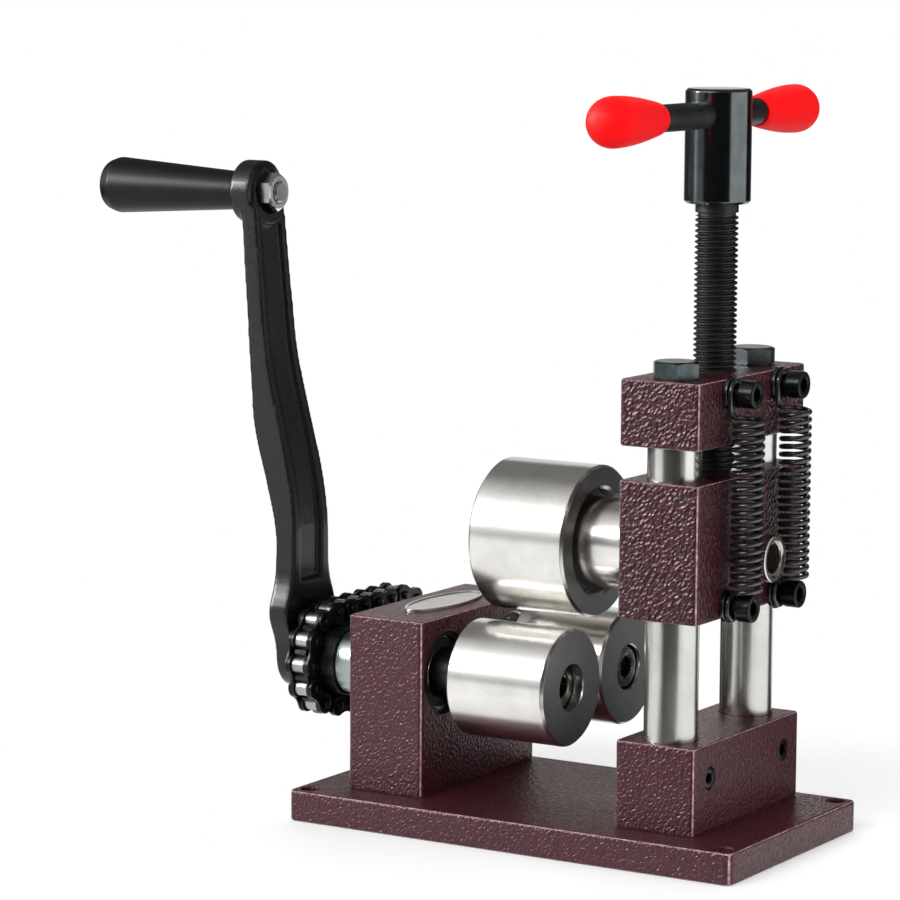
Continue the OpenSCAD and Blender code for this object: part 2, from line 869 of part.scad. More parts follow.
module rear_roller_key() {
  roller_key(rear_y, rear_x0);
}

module front_roller_screw() {
  roller_screw(front_y, front_seat_x);
}

module rear_roller_screw() {
  roller_screw(rear_y, rear_seat_x);
}

// Crank seen along X: hub, flare, tapering arm and round end
module crank_outline() {
  zs = [for (i = [0:arm_steps]) arm_z0 + (arm_z1 - arm_z0) * i / arm_steps];
  translate([front_y, lower_z]) circle(crank_hub_r);
  translate([front_y, arm_z1]) circle(arm_w1);
  polygon(concat([for (z = zs) [front_y - arm_half(z), z]],
    [for (i = [arm_steps:-1:0]) [front_y + arm_half(zs[i]), zs[i]]]));
}

// Crank seen along Y between its left and right faces
module crank_side() {
  z0 = arm_z0 - crank_hub_r - 1;
  z1 = arm_z1 + arm_w1 + 1;
  zs = [for (i = [0:arm_steps]) z0 + (z1 - z0) * i / arm_steps];
  polygon(concat([for (z = zs) [arm_out(z), z]],
    [for (i = [arm_steps:-1:0]) [arm_in(zs[i]), zs[i]]]));
}

flute_z0 = 100;
flute_z1 = 224;
flute_w = 12;
flute_h = 1.8;

module crank_flute() {
  zs = [for (i = [0:arm_steps]) flute_z0 + (flute_z1 - flute_z0) * i / arm_steps];
  translate([0, front_y + flute_w / 2, 0]) rotate([90, 0, 0]) linear_extrude(flute_w)
    polygon(concat([for (z = zs) [arm_in(z) - flute_h, z]],
      [for (i = [arm_steps:-1:0]) [arm_in(zs[i]) + 4, zs[i]]]));
}

module crank_arm() {
  depth = 2 * flare_w + 4;
  width = 40;
  color("#1d1d1f") difference() {
    union() {
      intersection() {
        translate([0, front_y + depth / 2, 0]) rotate([90, 0, 0]) linear_extrude(depth) crank_side();
        translate([crank_x1 - width, 0, 0]) rotate([90, 0, 90]) linear_extrude(width + 5)
          crank_outline();
      }
      x_bar(handle_face_x, nut_seat_x, handle_boss_r, front_y, arm_z1);
    }
    crank_flute();
    x_bar(nut_seat_x, nut_seat_x + 12, 8.6, front_y, arm_z1);
    x_bar(handle_face_x - eps, nut_seat_x + eps, m8_r + run_fit, front_y, arm_z1);
    translate([crank_x1 - 4.7, front_y - square_w / 2 - run_fit, lower_z - square_w / 2 - run_fit])
      cube([6, square_w + 2 * run_fit, square_w + 2 * run_fit]);
    x_bar(crank_x0 - eps, crank_x1, m8_r + 0.4, front_y, lower_z);
    x_cone(crank_x0 - 0.01, crank_x0 + web_t, m8_sink_r + 0.2, m8_r + 0.2, front_y, lower_z);
  }
}

module crank_screw() {
  color("#2b2b2d") difference() {
    union() {
      x_cone(crank_x0 + 0.1, crank_x0 + web_t, m8_sink_r, m8_r, front_y, lower_z);
      x_bar(crank_x0 + 2, crank_x0 + crank_screw_l, m8_r, front_y, lower_z);
    }
    x_hex(crank_x0 - eps, crank_x0 + 3, m6_key, front_y, lower_z);
  }
}

module handle_axle() {
  color("#9a9a98") {
    x_bar(axle_end_x, axle_end_x + axle_head_l, axle_head_r, front_y, arm_z1);
    x_bar(axle_end_x, handle_face_x - washer_t, handle_axle_r, front_y, arm_z1);
    x_bar(axle_end_x, nut_seat_x + m8_nut_h + 1, m8_r, front_y, arm_z1);
  }
}

module handle_nut() {
  color("#6c6c6b") difference() {
    x_hex(nut_seat_x, nut_seat_x + m8_nut_h, m8_nut_w, front_y, arm_z1);
    x_bar(nut_seat_x - eps, nut_seat_x + m8_nut_h + eps, m8_r + run_fit, front_y, arm_z1);
  }
}

module handle_washer() {
  color("#c9c9c6") difference() {
    x_bar(handle_face_x - washer_t, handle_face_x, 7.2, front_y, arm_z1);
    x_bar(handle_face_x - washer_t - eps, handle_face_x + eps, m8_r + run_fit, front_y, arm_z1);
  }
}

end_round = 5;
round_steps = 8;

// Handle outline: radius against distance from the crank
function handle_outline() = concat(
  [[0, 0], [handle_r0 - 0.8, 0], [handle_r0, 0.8]],
  [for (i = [0:round_steps]) let (a = 90 * i / round_steps)
    [handle_r1 - end_round * (1 - cos(a)), handle_l - end_round * (1 - sin(a))]],
  [[0, handle_l]]);

module handle() {
  color("#1b1b1c") difference() {
    translate([handle_x1, front_y, arm_z1]) rotate([0, -90, 0]) rotate_extrude()
      polygon(handle_outline());
    x_bar(axle_end_x, handle_x1 + eps, handle_axle_r + run_fit, front_y, arm_z1);
    x_bar(axle_end_x - end_gap, axle_end_x + axle_head_l + end_gap, axle_head_r + 0.1,
          front_y, arm_z1);
  }
}

module carriage() {
  color("#4f2c30") difference() {
    block(post_x0, post_x1, block_y0, block_y1, carriage_z0, carriage_z1, block_r);
    for (s = [-1, 1])
      z_bar(carriage_z0 - eps, carriage_z1 + eps, column_r + run_fit, post_x, mech_y + s * column_dy);
    x_bar(post_x0 - eps, post_x1 + eps, bush_r + seat_fit, mech_y, upper_z);
    z_bar(socket_z0, carriage_z1 + eps, journal_r + run_fit, post_x, mech_y);
    hook_holes(hook_low_z);
  }
}

module axle_bush() {
  color("#a8874a") difference() {
    x_bar(post_x0, post_x1, bush_r, mech_y, upper_z);
    x_bar(post_x0 - eps, post_x1 + eps, axle_r + run_fit, mech_y, upper_z);
  }
}

// Stub in the upper roller, hub, and axle through the carriage
axle_end = post_x1 + end_gap + collar_l - 1;
stub_r = 10;
stub_l = 15;
upper_seat_x = upper_x0 + 12;

module upper_shaft() {
  hub_x0 = upper_x0 + upper_l - recess_h;
  color("#c4c4c1") difference() {
    union() {
      x_bar(upper_seat_x + roller_web, hub_x0 + 1, stub_r, mech_y, upper_z);
      x_bar(hub_x0, post_x0 - end_gap, hub_r, mech_y, upper_z);
      x_bar(hub_x0, axle_end, axle_r, mech_y, upper_z);
    }
    x_bar(upper_seat_x + roller_web - eps, hub_x0 + 12, m10_r + run_fit, mech_y, upper_z);
  }
}

module upper_roller() {
  x1 = upper_x0 + upper_l;
  color("#dededb") difference() {
    union() {
      x_bar(upper_x0 + roller_chamfer, x1 - roller_chamfer, upper_r, mech_y, upper_z);
      x_cone(upper_x0, upper_x0 + roller_chamfer, upper_r - roller_chamfer, upper_r, mech_y, upper_z);
      x_cone(x1 - roller_chamfer, x1, upper_r, upper_r - roller_chamfer, mech_y, upper_z);
    }
    x_bar(x1 - recess_h, x1 + eps, recess_r, mech_y, upper_z);
    x_cone(x1 - 1.2, x1 + 0.01, recess_r, recess_r + 1.2, mech_y, upper_z);
    x_bar(upper_seat_x + roller_web, x1, stub_r + seat_fit, mech_y, upper_z);
    x_bar(upper_x0, x1, m10_r + 0.5, mech_y, upper_z);
    x_bar(upper_x0 - eps, upper_seat_x, counterbore_r, mech_y, upper_z);
  }
}

module upper_roller_screw() {
  color("#232325") mirror([1, 0, 0])
    cap_screw(-upper_seat_x, mech_y, upper_z, m10_r, roller_web + upper_screw_l,
              m10_head_r, m10_head_h, m10_key);
}

module axle_collar() {
  x0 = post_x1 + end_gap;
  color("#d2d2cf") difference() {
    x_bar(x0, x0 + collar_l, collar_r, mech_y, upper_z);
    x_bar(x0 - eps, x0 + collar_l + eps, axle_r + seat_fit, mech_y, upper_z);
    z_bar(upper_z - collar_r - eps, upper_z, m4_r + run_fit, x0 + collar_l / 2, mech_y);
  }
}

module collar_grub() {
  x = post_x1 + end_gap + collar_l / 2;
  color("#2b2b2d") z_bar(upper_z - collar_r + 0.2, upper_z - axle_r - 0.05, m4_r, x, mech_y);
}

module feed_screw() {
  color("#1f1f21") difference() {
    union() {
      z_bar(journal_z0, carriage_z1 + 1, journal_r, post_x, mech_y);
      z_bar(carriage_z1 + 0.4, thread_top, screw_r, post_x, mech_y);
      z_bar(thread_top - 1, head_z0, screw_r - 1, post_x, mech_y);
      z_bar(thread_top + 1.2, head_z0, screw_r, post_x, mech_y);
      z_bar(head_z0 + head_chamfer, head_z1 - head_chamfer, head_r, post_x, mech_y);
      translate([post_x, mech_y, head_z0])
        cylinder(h = head_chamfer, r1 = head_r - head_chamfer, r2 = head_r);
      translate([post_x, mech_y, head_z1 - head_chamfer])
        cylinder(h = head_chamfer, r1 = head_r, r2 = head_r - head_chamfer);
    }
    y_bar(mech_y - head_r - eps, mech_y + head_r + eps, bar_r + run_fit, post_x, bar_z);
  }
}

bar_end = 6;

module cross_bar() {
  color("#c4c4c1")
    y_bar(grip_y0 - grip_l + bar_end, grip_y1 + grip_l - bar_end, bar_r, post_x, bar_z);
}

// Grip outline: radius against distance from its inner end
dome_l = 8;
dome_steps = 8;
function grip_outline() = concat(
  [[0, 0], [grip_r0 - 0.6, 0], [grip_r0, 0.6]],
  [for (i = [0:dome_steps]) let (a = 90 * i / dome_steps)
    [grip_r1 * (0.4 + 0.6 * cos(a)), grip_l - dome_l * (1 - sin(a))]],
  [[0, grip_l]]);

module grip() {
  difference() {
    rotate_extrude() polygon(grip_outline());
    translate([0, 0, -eps]) cylinder(h = grip_l - bar_end + eps + run_fit, r = bar_r + seat_fit);
  }
}

module grip_near() {
  color("#b01c22") translate([post_x, grip_y0, bar_z]) rotate([90, 0, 0]) grip();
}

module grip_far() {
  color("#b01c22") translate([post_x, grip_y1, bar_z]) rotate([-90, 0, 0]) grip();
}

base_plate();
base_screws();
bearing_housing();
badge_plate();
front_bearing_outer();
rear_bearing_outer();
bearing_clips();
foot_block();
foot_setscrews();
column_front();
column_rear();
crosshead();
column_bolt_front();
column_bolt_rear();
upper_spring_screws();
upper_spring_washers();
spring_front();
spring_rear();
chain_outer_links();
chain_inner_links();
chain_rollers();
front_shaft();
front_bearing_inner();
front_roller();
front_roller_key();
front_roller_screw();
front_spacer();
front_sprocket();
front_sprocket_grub();
crank_arm();
crank_screw();
handle_axle();
handle_nut();
handle_washer();
handle();
rear_shaft();
rear_bearing_inner();
rear_roller();
rear_roller_key();
rear_roller_screw();
rear_spacer();
rear_sprocket();
rear_sprocket_grub();
carriage();
axle_bush();
lower_spring_screws();
lower_spring_washers();
upper_shaft();
upper_roller();
upper_roller_screw();
axle_collar();
collar_grub();
feed_screw();
cross_bar();
grip_near();
grip_far();
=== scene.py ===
"""Looks of the hand cranked bracelet bending machine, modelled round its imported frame.

Every size is in millimetres, in the frame of the solids, unless its name says otherwise.
"""

import logging
import math
from collections.abc import Callable, Iterator, Sequence
from contextlib import contextmanager
from dataclasses import dataclass
from enum import Enum

import bmesh
import bpy
from mathutils import Matrix, Vector


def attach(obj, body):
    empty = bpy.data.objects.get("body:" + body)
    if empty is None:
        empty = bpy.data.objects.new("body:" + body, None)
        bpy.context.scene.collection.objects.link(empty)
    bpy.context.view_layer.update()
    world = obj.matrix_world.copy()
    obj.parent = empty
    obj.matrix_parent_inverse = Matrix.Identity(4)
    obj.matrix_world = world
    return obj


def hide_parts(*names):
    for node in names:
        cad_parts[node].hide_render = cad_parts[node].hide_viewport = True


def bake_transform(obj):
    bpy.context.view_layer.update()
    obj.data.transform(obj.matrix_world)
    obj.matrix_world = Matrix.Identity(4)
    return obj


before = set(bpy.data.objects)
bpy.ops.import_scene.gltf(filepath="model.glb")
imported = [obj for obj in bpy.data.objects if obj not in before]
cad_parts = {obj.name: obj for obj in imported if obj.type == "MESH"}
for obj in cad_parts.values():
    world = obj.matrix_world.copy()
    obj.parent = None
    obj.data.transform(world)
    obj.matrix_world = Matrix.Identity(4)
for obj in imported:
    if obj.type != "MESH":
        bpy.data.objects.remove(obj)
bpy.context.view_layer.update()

LOG = logging.getLogger("bender")
MM = 0.001
MERGE_M = 1e-6

Place = tuple[float, float, float]
Span = tuple[float, float]
Profile = Sequence[tuple[float, ...]]
Key = int | str
Object = bpy.types.Object
Tree = bpy.types.NodeTree
Node = bpy.types.Node
Socket = bpy.types.NodeSocket
Face = bmesh.types.BMFace
Edge = bmesh.types.BMEdge


class Axis(Enum):
    """Direction that a turned piece or a hole runs in."""

    X = (1.0, 0.0, 0.0)
    Y = (0.0, 1.0, 0.0)
    Z = (0.0, 0.0, 1.0)

    @property
    def along(self) -> Vector:
        """Unit vector along the axis."""
        return Vector(self.value)

    @property
    def out(self) -> Vector:
        """Unit vector square to the axis, where the first corner of a hexagon stands."""
        return Vector((1, 0, 0)) if self is Axis.Z else Vector((0, 0, 1))


class Cut(Enum):
    """How one solid is combined with another."""

    AWAY = "DIFFERENCE"
    JOINED = "UNION"
    COMMON = "INTERSECT"


class Body(Enum):
    """Moving group that a piece rides on."""

    FRAME = "frame"
    CRANK = "crank"
    HANDLE = "handle"
    REAR = "rear_roller_set"
    CARRIAGE = "carriage"
    UPPER = "upper_roller_set"
    SCREW = "feed_screw"
    BAR = "cross_bar"


# Modelling helpers


def only(piece: Object) -> None:
    """Selects one object, makes it active and deselects the rest."""
    bpy.ops.object.select_all(action="DESELECT")
    piece.select_set(True)
    bpy.context.view_layer.objects.active = piece


def begin(name: str, primitive: Callable[[], object]) -> Object:
    """Adds a primitive, puts its place into its mesh and returns it at the origin."""
    bpy.ops.object.select_all(action="DESELECT")
    primitive()
    piece = bpy.context.object
    piece.name = piece.data.name = name
    bpy.ops.object.transform_apply(location=True, rotation=True, scale=True)
    return piece


@contextmanager
def editing(piece: Object) -> Iterator[None]:
    """Opens a piece in edit mode with everything selected, and closes it again."""
    only(piece)
    bpy.ops.object.mode_set(mode="EDIT")
    bpy.ops.mesh.select_mode(type="VERT")
    pick_all()
    yield
    bpy.ops.object.mode_set(mode="OBJECT")


def pick_all() -> None:
    """Selects everything in edit mode."""
    bpy.ops.mesh.select_all(action="SELECT")


def pick(piece: Object, kind: str, test: Callable[[Face | Edge], bool]) -> None:
    """Selects in edit mode only what passes a test.

    Args:
        piece: The piece in edit mode.
        kind: FACE or EDGE.
        test: Tells whether a face or an edge is selected.
    """
    bpy.ops.mesh.select_all(action="DESELECT")
    bpy.ops.mesh.select_mode(type=kind)
    mesh = bmesh.from_edit_mesh(piece.data)
    for part in mesh.faces if kind == "FACE" else mesh.edges:
        if test(part):
            part.select_set(True)
    mesh.select_flush_mode()
    bmesh.update_edit_mesh(piece.data)


def bevelled(piece: Object, width: float, segments: int, test: Callable[[Edge], bool]) -> None:
    """Rounds in edit mode the edges that pass a test."""
    pick(piece, "EDGE", test)
    bpy.ops.mesh.bevel(offset=width * MM, segments=segments, affect="EDGES")


def at_rim(edge: Edge) -> bool:
    """Whether an edge lies between a face square to X and a side."""
    slopes = [abs(face.normal.x) for face in edge.link_faces]
    return len(slopes) == 2 and abs(slopes[0] - slopes[1]) > 0.5


def off_axis(face: Face, y: float, z: float) -> float:
    """Distance of a face's middle from a line along X."""
    middle = face.calc_center_median() / MM
    return math.hypot(middle.y - y, middle.z - z)


def tidy_shell() -> None:
    """Merges doubles, drops loose edges and points every face outwards, in edit mode."""
    pick_all()
    bpy.ops.mesh.remove_doubles(threshold=MERGE_M)
    bpy.ops.mesh.delete_loose()
    pick_all()
    bpy.ops.mesh.normals_make_consistent(inside=False)


def spun(angle: float, centre_m: Vector | Place, axis: Axis, steps: int, copies: bool = False) -> None:
    """Sweeps what is selected round an axis, anticlockwise as seen from the axis's tip.

    Args:
        angle: Angle in radians.
        centre_m: A point of the axis, in metres.
        axis: Direction of the axis.
        steps: Steps of the sweep.
        copies: Whether loose copies are made and no faces.
    """
    bpy.ops.mesh.spin(steps=steps, angle=-angle, dupli=copies, center=centre_m, axis=axis.along)


def pushed(x: float = 0.0, z: float = 0.0) -> None:
    """Extrudes what is selected in edit mode."""
    bpy.ops.mesh.extrude_region_move(TRANSFORM_OT_translate={"value": (x * MM, 0, z * MM)})


def traced(line_m: Sequence[Vector]) -> None:
    """Draws a line in edit mode from the selected point, which is its first one, in metres."""
    for here, there in zip(line_m, line_m[1:]):
        bpy.ops.mesh.extrude_vertices_move(TRANSFORM_OT_translate={"value": there - here})


@contextmanager
def outline(name: str, line_m: Sequence[Vector]) -> Iterator[Object]:
    """Draws a line through points in metres, and leaves the piece in edit mode for the block."""
    piece = begin(name, lambda: bpy.ops.mesh.primitive_plane_add(size=MM, location=line_m[0]))
    with editing(piece):
        bpy.ops.mesh.merge(type="CENTER")
        traced(line_m)
        yield piece


def flat(name: str, middle: Place | Vector, wide_x: float, wide_y: float) -> Object:
    """Adds a level rectangle round a middle point."""
    piece = begin(name, lambda: bpy.ops.mesh.primitive_plane_add(size=MM))
    with editing(piece):
        bpy.ops.transform.resize(value=(wide_x, wide_y, 1))
        bpy.ops.transform.translate(value=Vector(middle) * MM)
    return piece


def softened(profile: Profile, steps: int = 3) -> list[Span]:
    """Rounds the corners of a profile that carry a radius.

    Args:
        profile: Points (along, radius) or (along, radius, corner radius).
        steps: Chords in each rounded corner.

    Returns:
        Points (along, radius).
    """
    line: list[Span] = []
    for index, point in enumerate(profile):
        here = Vector(point[:2])
        if len(point) < 3 or not point[2]:
            line.append((here.x, here.y))
            continue
        back = (Vector(profile[index - 1][:2]) - here).normalized()
        ahead = (Vector(profile[index + 1][:2]) - here).normalized()
        half = back.angle(ahead) / 2
        middle = here + (back + ahead).normalized() * point[2] / math.sin(half)
        first = here + back * point[2] / math.tan(half) - middle
        last = here + ahead * point[2] / math.tan(half) - middle
        sweep = first.angle_signed(last)
        for step in range(steps + 1):
            spoke = Matrix.Rotation(-sweep * step / steps, 2) @ first + middle
            line.append((spoke.x, spoke.y))
    return line


def rod(a: float, b: float, radius: float, soft: float = 0.0) -> Profile:
    """Profile of a round bar from a to b, with rounded corners where soft isn't nought."""
    return [(a, 0), (a, radius, soft), (b, radius, soft), (b, 0)]


def ring(a: float, b: float, inner: float, outer: float, soft: float = 0.0) -> Profile:
    """Profile of a ring from a to b, with rounded outer corners where soft isn't nought."""
    return [(a, inner), (a, outer, soft), (b, outer, soft), (b, inner), (a, inner)]


def turned(
    name: str, axis: Axis, centre: Place, profile: Profile, steps: int = 96, turn: float = 0.0
) -> Object:
    """Turns a profile into a closed round piece, as on a lathe.

    Args:
        name: Name of the piece.
        axis: Direction of the axis.
        centre: A point of the axis.
        profile: Points (along, radius), a third number rounds that corner.
        steps: Facets round the axis, and 6 makes a hexagonal bar.
        turn: Angle of the first facet corner in degrees.
    """
    out = Matrix.Rotation(math.radians(turn), 3, axis.along) @ axis.out
    start = Vector(centre)
    with outline(name, [(start + axis.along * a + out * r) * MM for a, r in softened(profile)]) as piece:
        pick_all()
        spun(math.tau, start * MM, axis, steps)
        tidy_shell()
    return piece


def hexagon(
    name: str, axis: Axis, centre: Place, flats: float, a: float, b: float, turn: float = 0.0
) -> Object:
    """Hexagonal bar from a to b along an axis, flats wide across its flats."""
    return turned(name, axis, centre, rod(a, b, flats / math.sqrt(3)), 6, turn)


def modified(piece: Object, kind: str, **settings: object) -> Object:
    """Adds a modifier with its settings to a piece and applies it."""
    only(piece)
    bpy.ops.object.modifier_add(type=kind)
    modifier = piece.modifiers[-1]
    for key, value in settings.items():
        setattr(modifier, key, value)
    bpy.ops.object.modifier_apply(modifier=modifier.name)
    return piece


def combined(piece: Object, other: Object, how: Cut = Cut.AWAY) -> Object:
    """Cuts, joins or intersects a piece with another, which is used up."""
    modified(piece, "BOOLEAN", operation=how.value, object=other, solver="EXACT")
    bpy.data.objects.remove(other)
    return piece


def machined(
    piece: Object, axis: Axis, centre: Place, profile: Profile, steps: int = 96, how: Cut = Cut.AWAY
) -> Object:
    """Cuts, joins or intersects a piece with a turned form."""
    return combined(piece, turned("form", axis, centre, profile, steps), how)


def drilled(
    piece: Object, axis: Axis, centre: Place, radius: float, a: float, b: float, lip: float = 0.0
) -> None:
    """Cuts a round hole from a to b, with a lip rounded at b where lip isn't nought."""
    profile = rod(a, b, radius)
    if lip:
        way = math.copysign(1, b - a)
        profile = [(a, 0), (a, radius), (b - way * lip, radius), (b, radius + lip),
                   (b + way, radius + lip), (b + way, 0)]
    machined(piece, axis, centre, profile, 64)


def mended(piece: Object) -> Object:
    """Closes the pin holes that a cut can leave in a piece."""
    with editing(piece):
        bpy.ops.mesh.remove_doubles(threshold=10 * MERGE_M)
        bpy.ops.mesh.delete_loose()
        bpy.ops.mesh.select_all(action="DESELECT")
        bpy.ops.mesh.select_non_manifold(
            extend=False, use_wire=False, use_boundary=True, use_multi_face=False,
            use_non_contiguous=False, use_verts=False)
        bpy.ops.mesh.fill_holes(sides=0)
        pick_all()
        bpy.ops.mesh.normals_make_consistent(inside=False)
    return piece


def joined(name: str, pieces: Sequence[Object]) -> Object:
    """Makes one object of several."""
    bpy.ops.object.select_all(action="DESELECT")
    for piece in pieces:
        piece.select_set(True)
    bpy.context.view_layer.objects.active = pieces[0]
    bpy.ops.object.join()
    pieces[0].name = pieces[0].data.name = name
    return pieces[0]


def repeated(name: str, patterns: Sequence[Object], places: Sequence[Matrix]) -> Object:
    """Copies patterns to places, joins the copies and removes the patterns.

    Args:
        name: Name of the joined piece.
        patterns: Pieces at the origin.
        places: Transforms of the copies, with their moves in metres.

    Returns:
        The joined piece, at the origin.
    """
    copies = []
    for place in places:
        for pattern in patterns:
            only(pattern)
            bpy.ops.object.duplicate(linked=False)
            copies.append(bpy.context.object)
            copies[-1].matrix_world = place
            bpy.ops.object.transform_apply(location=True, rotation=True, scale=True)
    for pattern in patterns:
        bpy.data.objects.remove(pattern)
    return joined(name, copies)


def shaded(piece: Object, angle: float) -> Object:
    """Shades a piece smooth up to an angle in degrees."""
    only(piece)
    bpy.ops.object.shade_smooth_by_angle(angle=math.radians(angle))
    return piece


def smooth(piece: Object, angle: float = 32.0) -> Object:
    """Shades a piece smooth up to an angle, with flat faces kept flat by their area."""
    return modified(shaded(piece, angle), "WEIGHTED_NORMAL", keep_sharp=True, weight=100)


# Material helpers


def linear(colour: str) -> tuple[float, float, float, float]:
    """Turns an sRGB hex colour to linear RGBA."""
    channels = [int(colour[i:i + 2], 16) / 255 for i in (1, 3, 5)]
    values = [c / 12.92 if c <= 0.04045 else ((c + 0.055) / 1.055) ** 2.4 for c in channels]
    return (*values, 1.0)


def add(
    tree: Tree, kind: str, settings: dict[Key, object] | None = None, links: dict[Key, Socket] | None = None
) -> Node:
    """Adds a node.

    Args:
        tree: The material's or world's nodes.
        kind: Blender's name of the node without ShaderNode.
        settings: Properties by their name, and input values by their label or number.
        links: Input by label or number, and the output that feeds it.

    Returns:
        The new node.
    """
    node = tree.nodes.new("ShaderNode" + kind)
    for key, value in (settings or {}).items():
        if isinstance(key, str) and hasattr(node, key):
            setattr(node, key, value)
        else:
            node.inputs[key].default_value = value
    for key, source in (links or {}).items():
        tree.links.new(source, node.inputs[key])
    return node


def ranged(tree: Tree, value: Socket, source: Span = (0.0, 1.0), target: Span = (0.0, 1.0)) -> Socket:
    """Maps a value from one range to another and holds it there."""
    ends = dict(zip(("From Min", "From Max", "To Min", "To Max"), (*source, *target)))
    return add(tree, "MapRange", ends, {"Value": value}).outputs[0]


def noise(tree: Tree, source: Socket, size_mm: float, label: str = "Vector", **settings: object) -> Socket:
    """Noise with grains of a size, read at the place that a socket gives."""
    return add(tree, "TexNoise", {"Scale": 1 / (size_mm * MM), **settings}, {label: source}).outputs["Fac"]


def emptied(owner: bpy.types.Material | bpy.types.World) -> Tree:
    """Switches a material's or world's nodes on and clears them."""
    owner.use_nodes = True
    owner.node_tree.nodes.clear()
    return owner.node_tree


def made(name: str, surface: Callable[[Tree], Node]) -> bpy.types.Material:
    """Makes a material round the shader that a function adds."""
    material = bpy.data.materials.new(name)
    tree = emptied(material)
    add(tree, "OutputMaterial", None, {"Surface": surface(tree).outputs[0]})
    return material


@dataclass(frozen=True)
class Finish:
    """What every finish has: its material's name and the record's slot."""

    name: str
    slot: str

    def material(self) -> bpy.types.Material:
        """Makes the material at its first use, and hands out the same one afterwards."""
        return bpy.data.materials.get(self.name) or made(self.name, self.dress)

    def dress(self, tree: Tree) -> Node:
        """Adds the shader with its values and patterns."""
        raise NotImplementedError

    @staticmethod
    def shader(
        tree: Tree, values: dict[Key, float], tone: Socket, colours: tuple[str, str], relief: Socket,
        gloss: Span, depth_mm: float
    ) -> Node:
        """Adds a shader with two colours mixed by one pattern, and roughness and relief by another.

        Args:
            tree: The material's nodes.
            values: Uniform values of the shader.
            tone: Share of the second colour.
            colours: The two colours.
            relief: Height of the surface between 0 and 1.
            gloss: Roughness at the height 0 and 1.
            depth_mm: Depth of the relief.

        Returns:
            The shader.
        """
        mixed = add(tree, "Mix", {"data_type": "RGBA", 6: linear(colours[0]), 7: linear(colours[1])}, {0: tone})
        bump = add(tree, "Bump", {"Strength": 1.0, "Distance": depth_mm * MM}, {"Height": relief})
        return add(tree, "BsdfPrincipled", values, {
            "Base Color": mixed.outputs[2],
            "Roughness": ranged(tree, relief, target=gloss),
            "Normal": bump.outputs[0],
        })


@dataclass(frozen=True)
class HammertoneEnamel(Finish):
    """Hammertone enamel, sprayed on steel: glossy worm-like ridges over dark valleys."""

    ridge_mm: float = 1.1
    depth_mm: float = 0.42
    # Valleys take the darker colour: painted shade in the hollows between the ridges
    valley: str = "#2a0e14"
    crest: str = "#4c1a22"
    gloss: float = 0.25
    # Aluminium flake in the enamel tints its glints
    flake: float = 0.2

    def dress(self, tree: Tree) -> Node:
        """Adds the shader with its values and patterns."""
        place = add(tree, "TexCoord").outputs["Object"]
        # Turned so that the block's diagonal is the ridges' way, which is up to the right on every face
        turn = (math.radians(45), math.radians(-35.26), 0)
        leaning = add(tree, "Mapping", {"Rotation": turn}, {"Vector": place}).outputs[0]
        drawn_out = add(tree, "VectorMath", {"operation": "MULTIPLY", 1: (1.0, 1.0, 0.42)}, {0: leaning})
        worms = noise(tree, drawn_out.outputs[0], self.ridge_mm, Detail=0.0, Distortion=0.3)
        height = ranged(tree, worms, (0.22, 0.78))
        # The height mixes the two colours, so the hollows are painted darker as shade
        return self.shader(tree, {"IOR": 1.52, "Metallic": self.flake}, height, (self.valley, self.crest), height,
                           (self.gloss * 1.7, self.gloss), self.depth_mm)


@dataclass(frozen=True)
class TurnedMetal(Finish):
    """Metal turned or ground round an axis: a bright body with fine rings and faint stains."""

    colour: str = "#eeece8"
    stain: str = "#e2e0db"
    roughness: float = 0.15
    centre: Place = (0.0, 0.0, 0.0)
    axis: Axis = Axis.X
    ring_mm: float = 0.5
    ring_depth_mm: float = 0.004
    stain_mm: float = 14.0

    def dress(self, tree: Tree) -> Node:
        """Adds the shader with its values and patterns."""
        place = add(tree, "TexCoord").outputs["Object"]
        offset = tuple(-c * MM for c in self.centre)
        centred = add(tree, "Mapping", {"Location": offset}, {"Vector": place}).outputs[0]
        square = tuple(1 - v for v in self.axis.value)
        across = add(tree, "VectorMath", {"operation": "MULTIPLY", 1: square}, {0: centred})
        radius = add(tree, "VectorMath", {"operation": "LENGTH"}, {0: across.outputs[0]})
        length = add(tree, "VectorMath", {"operation": "DOT_PRODUCT", 1: self.axis.value}, {0: centred})
        # The same count runs along the barrel and out over the end faces, so both carry rings
        count = add(tree, "Math", {"operation": "ADD"}, {0: radius.outputs["Value"], 1: length.outputs["Value"]})
        rings = noise(tree, count.outputs[0], self.ring_mm, "W", noise_dimensions="1D", Detail=3.0, Roughness=0.7)
        stains = ranged(tree, noise(tree, place, self.stain_mm, Detail=4.0, Roughness=0.6), (0.42, 0.68))
        return self.shader(tree, {"Metallic": 1.0}, stains, (self.colour, self.stain), rings,
                           (self.roughness * 0.75, self.roughness * 1.3), self.ring_depth_mm)


@dataclass(frozen=True)
class CoatedSurface(Finish):
    """A skin without direction, such as black oxide, enamel, plastic or plating, with grain and worn patches."""

    colour: str
    worn: str
    roughness: float
    metallic: float = 0.0
    coat: float = 0.0
    coat_roughness: float = 0.05
    ior: float = 1.5
    grain_mm: float = 0.5
    grain_depth_mm: float = 0.006
    patch_mm: float = 6.0

    def dress(self, tree: Tree) -> Node:
        """Adds the shader with its values and patterns."""
        place = add(tree, "TexCoord").outputs["Object"]
        grain = noise(tree, place, self.grain_mm, Detail=3.0)
        wear = ranged(tree, noise(tree, place, self.patch_mm, Detail=5.0, Roughness=0.65), (0.4, 0.7))
        values: dict[Key, float] = {"Metallic": self.metallic}
        if self.metallic < 1:
            values["IOR"] = self.ior
        if self.coat:
            values |= {"Coat Weight": self.coat, "Coat Roughness": self.coat_roughness}
        return self.shader(tree, values, wear, (self.colour, self.worn), grain,
                           (self.roughness * 0.7, self.roughness * 1.35), self.grain_depth_mm)


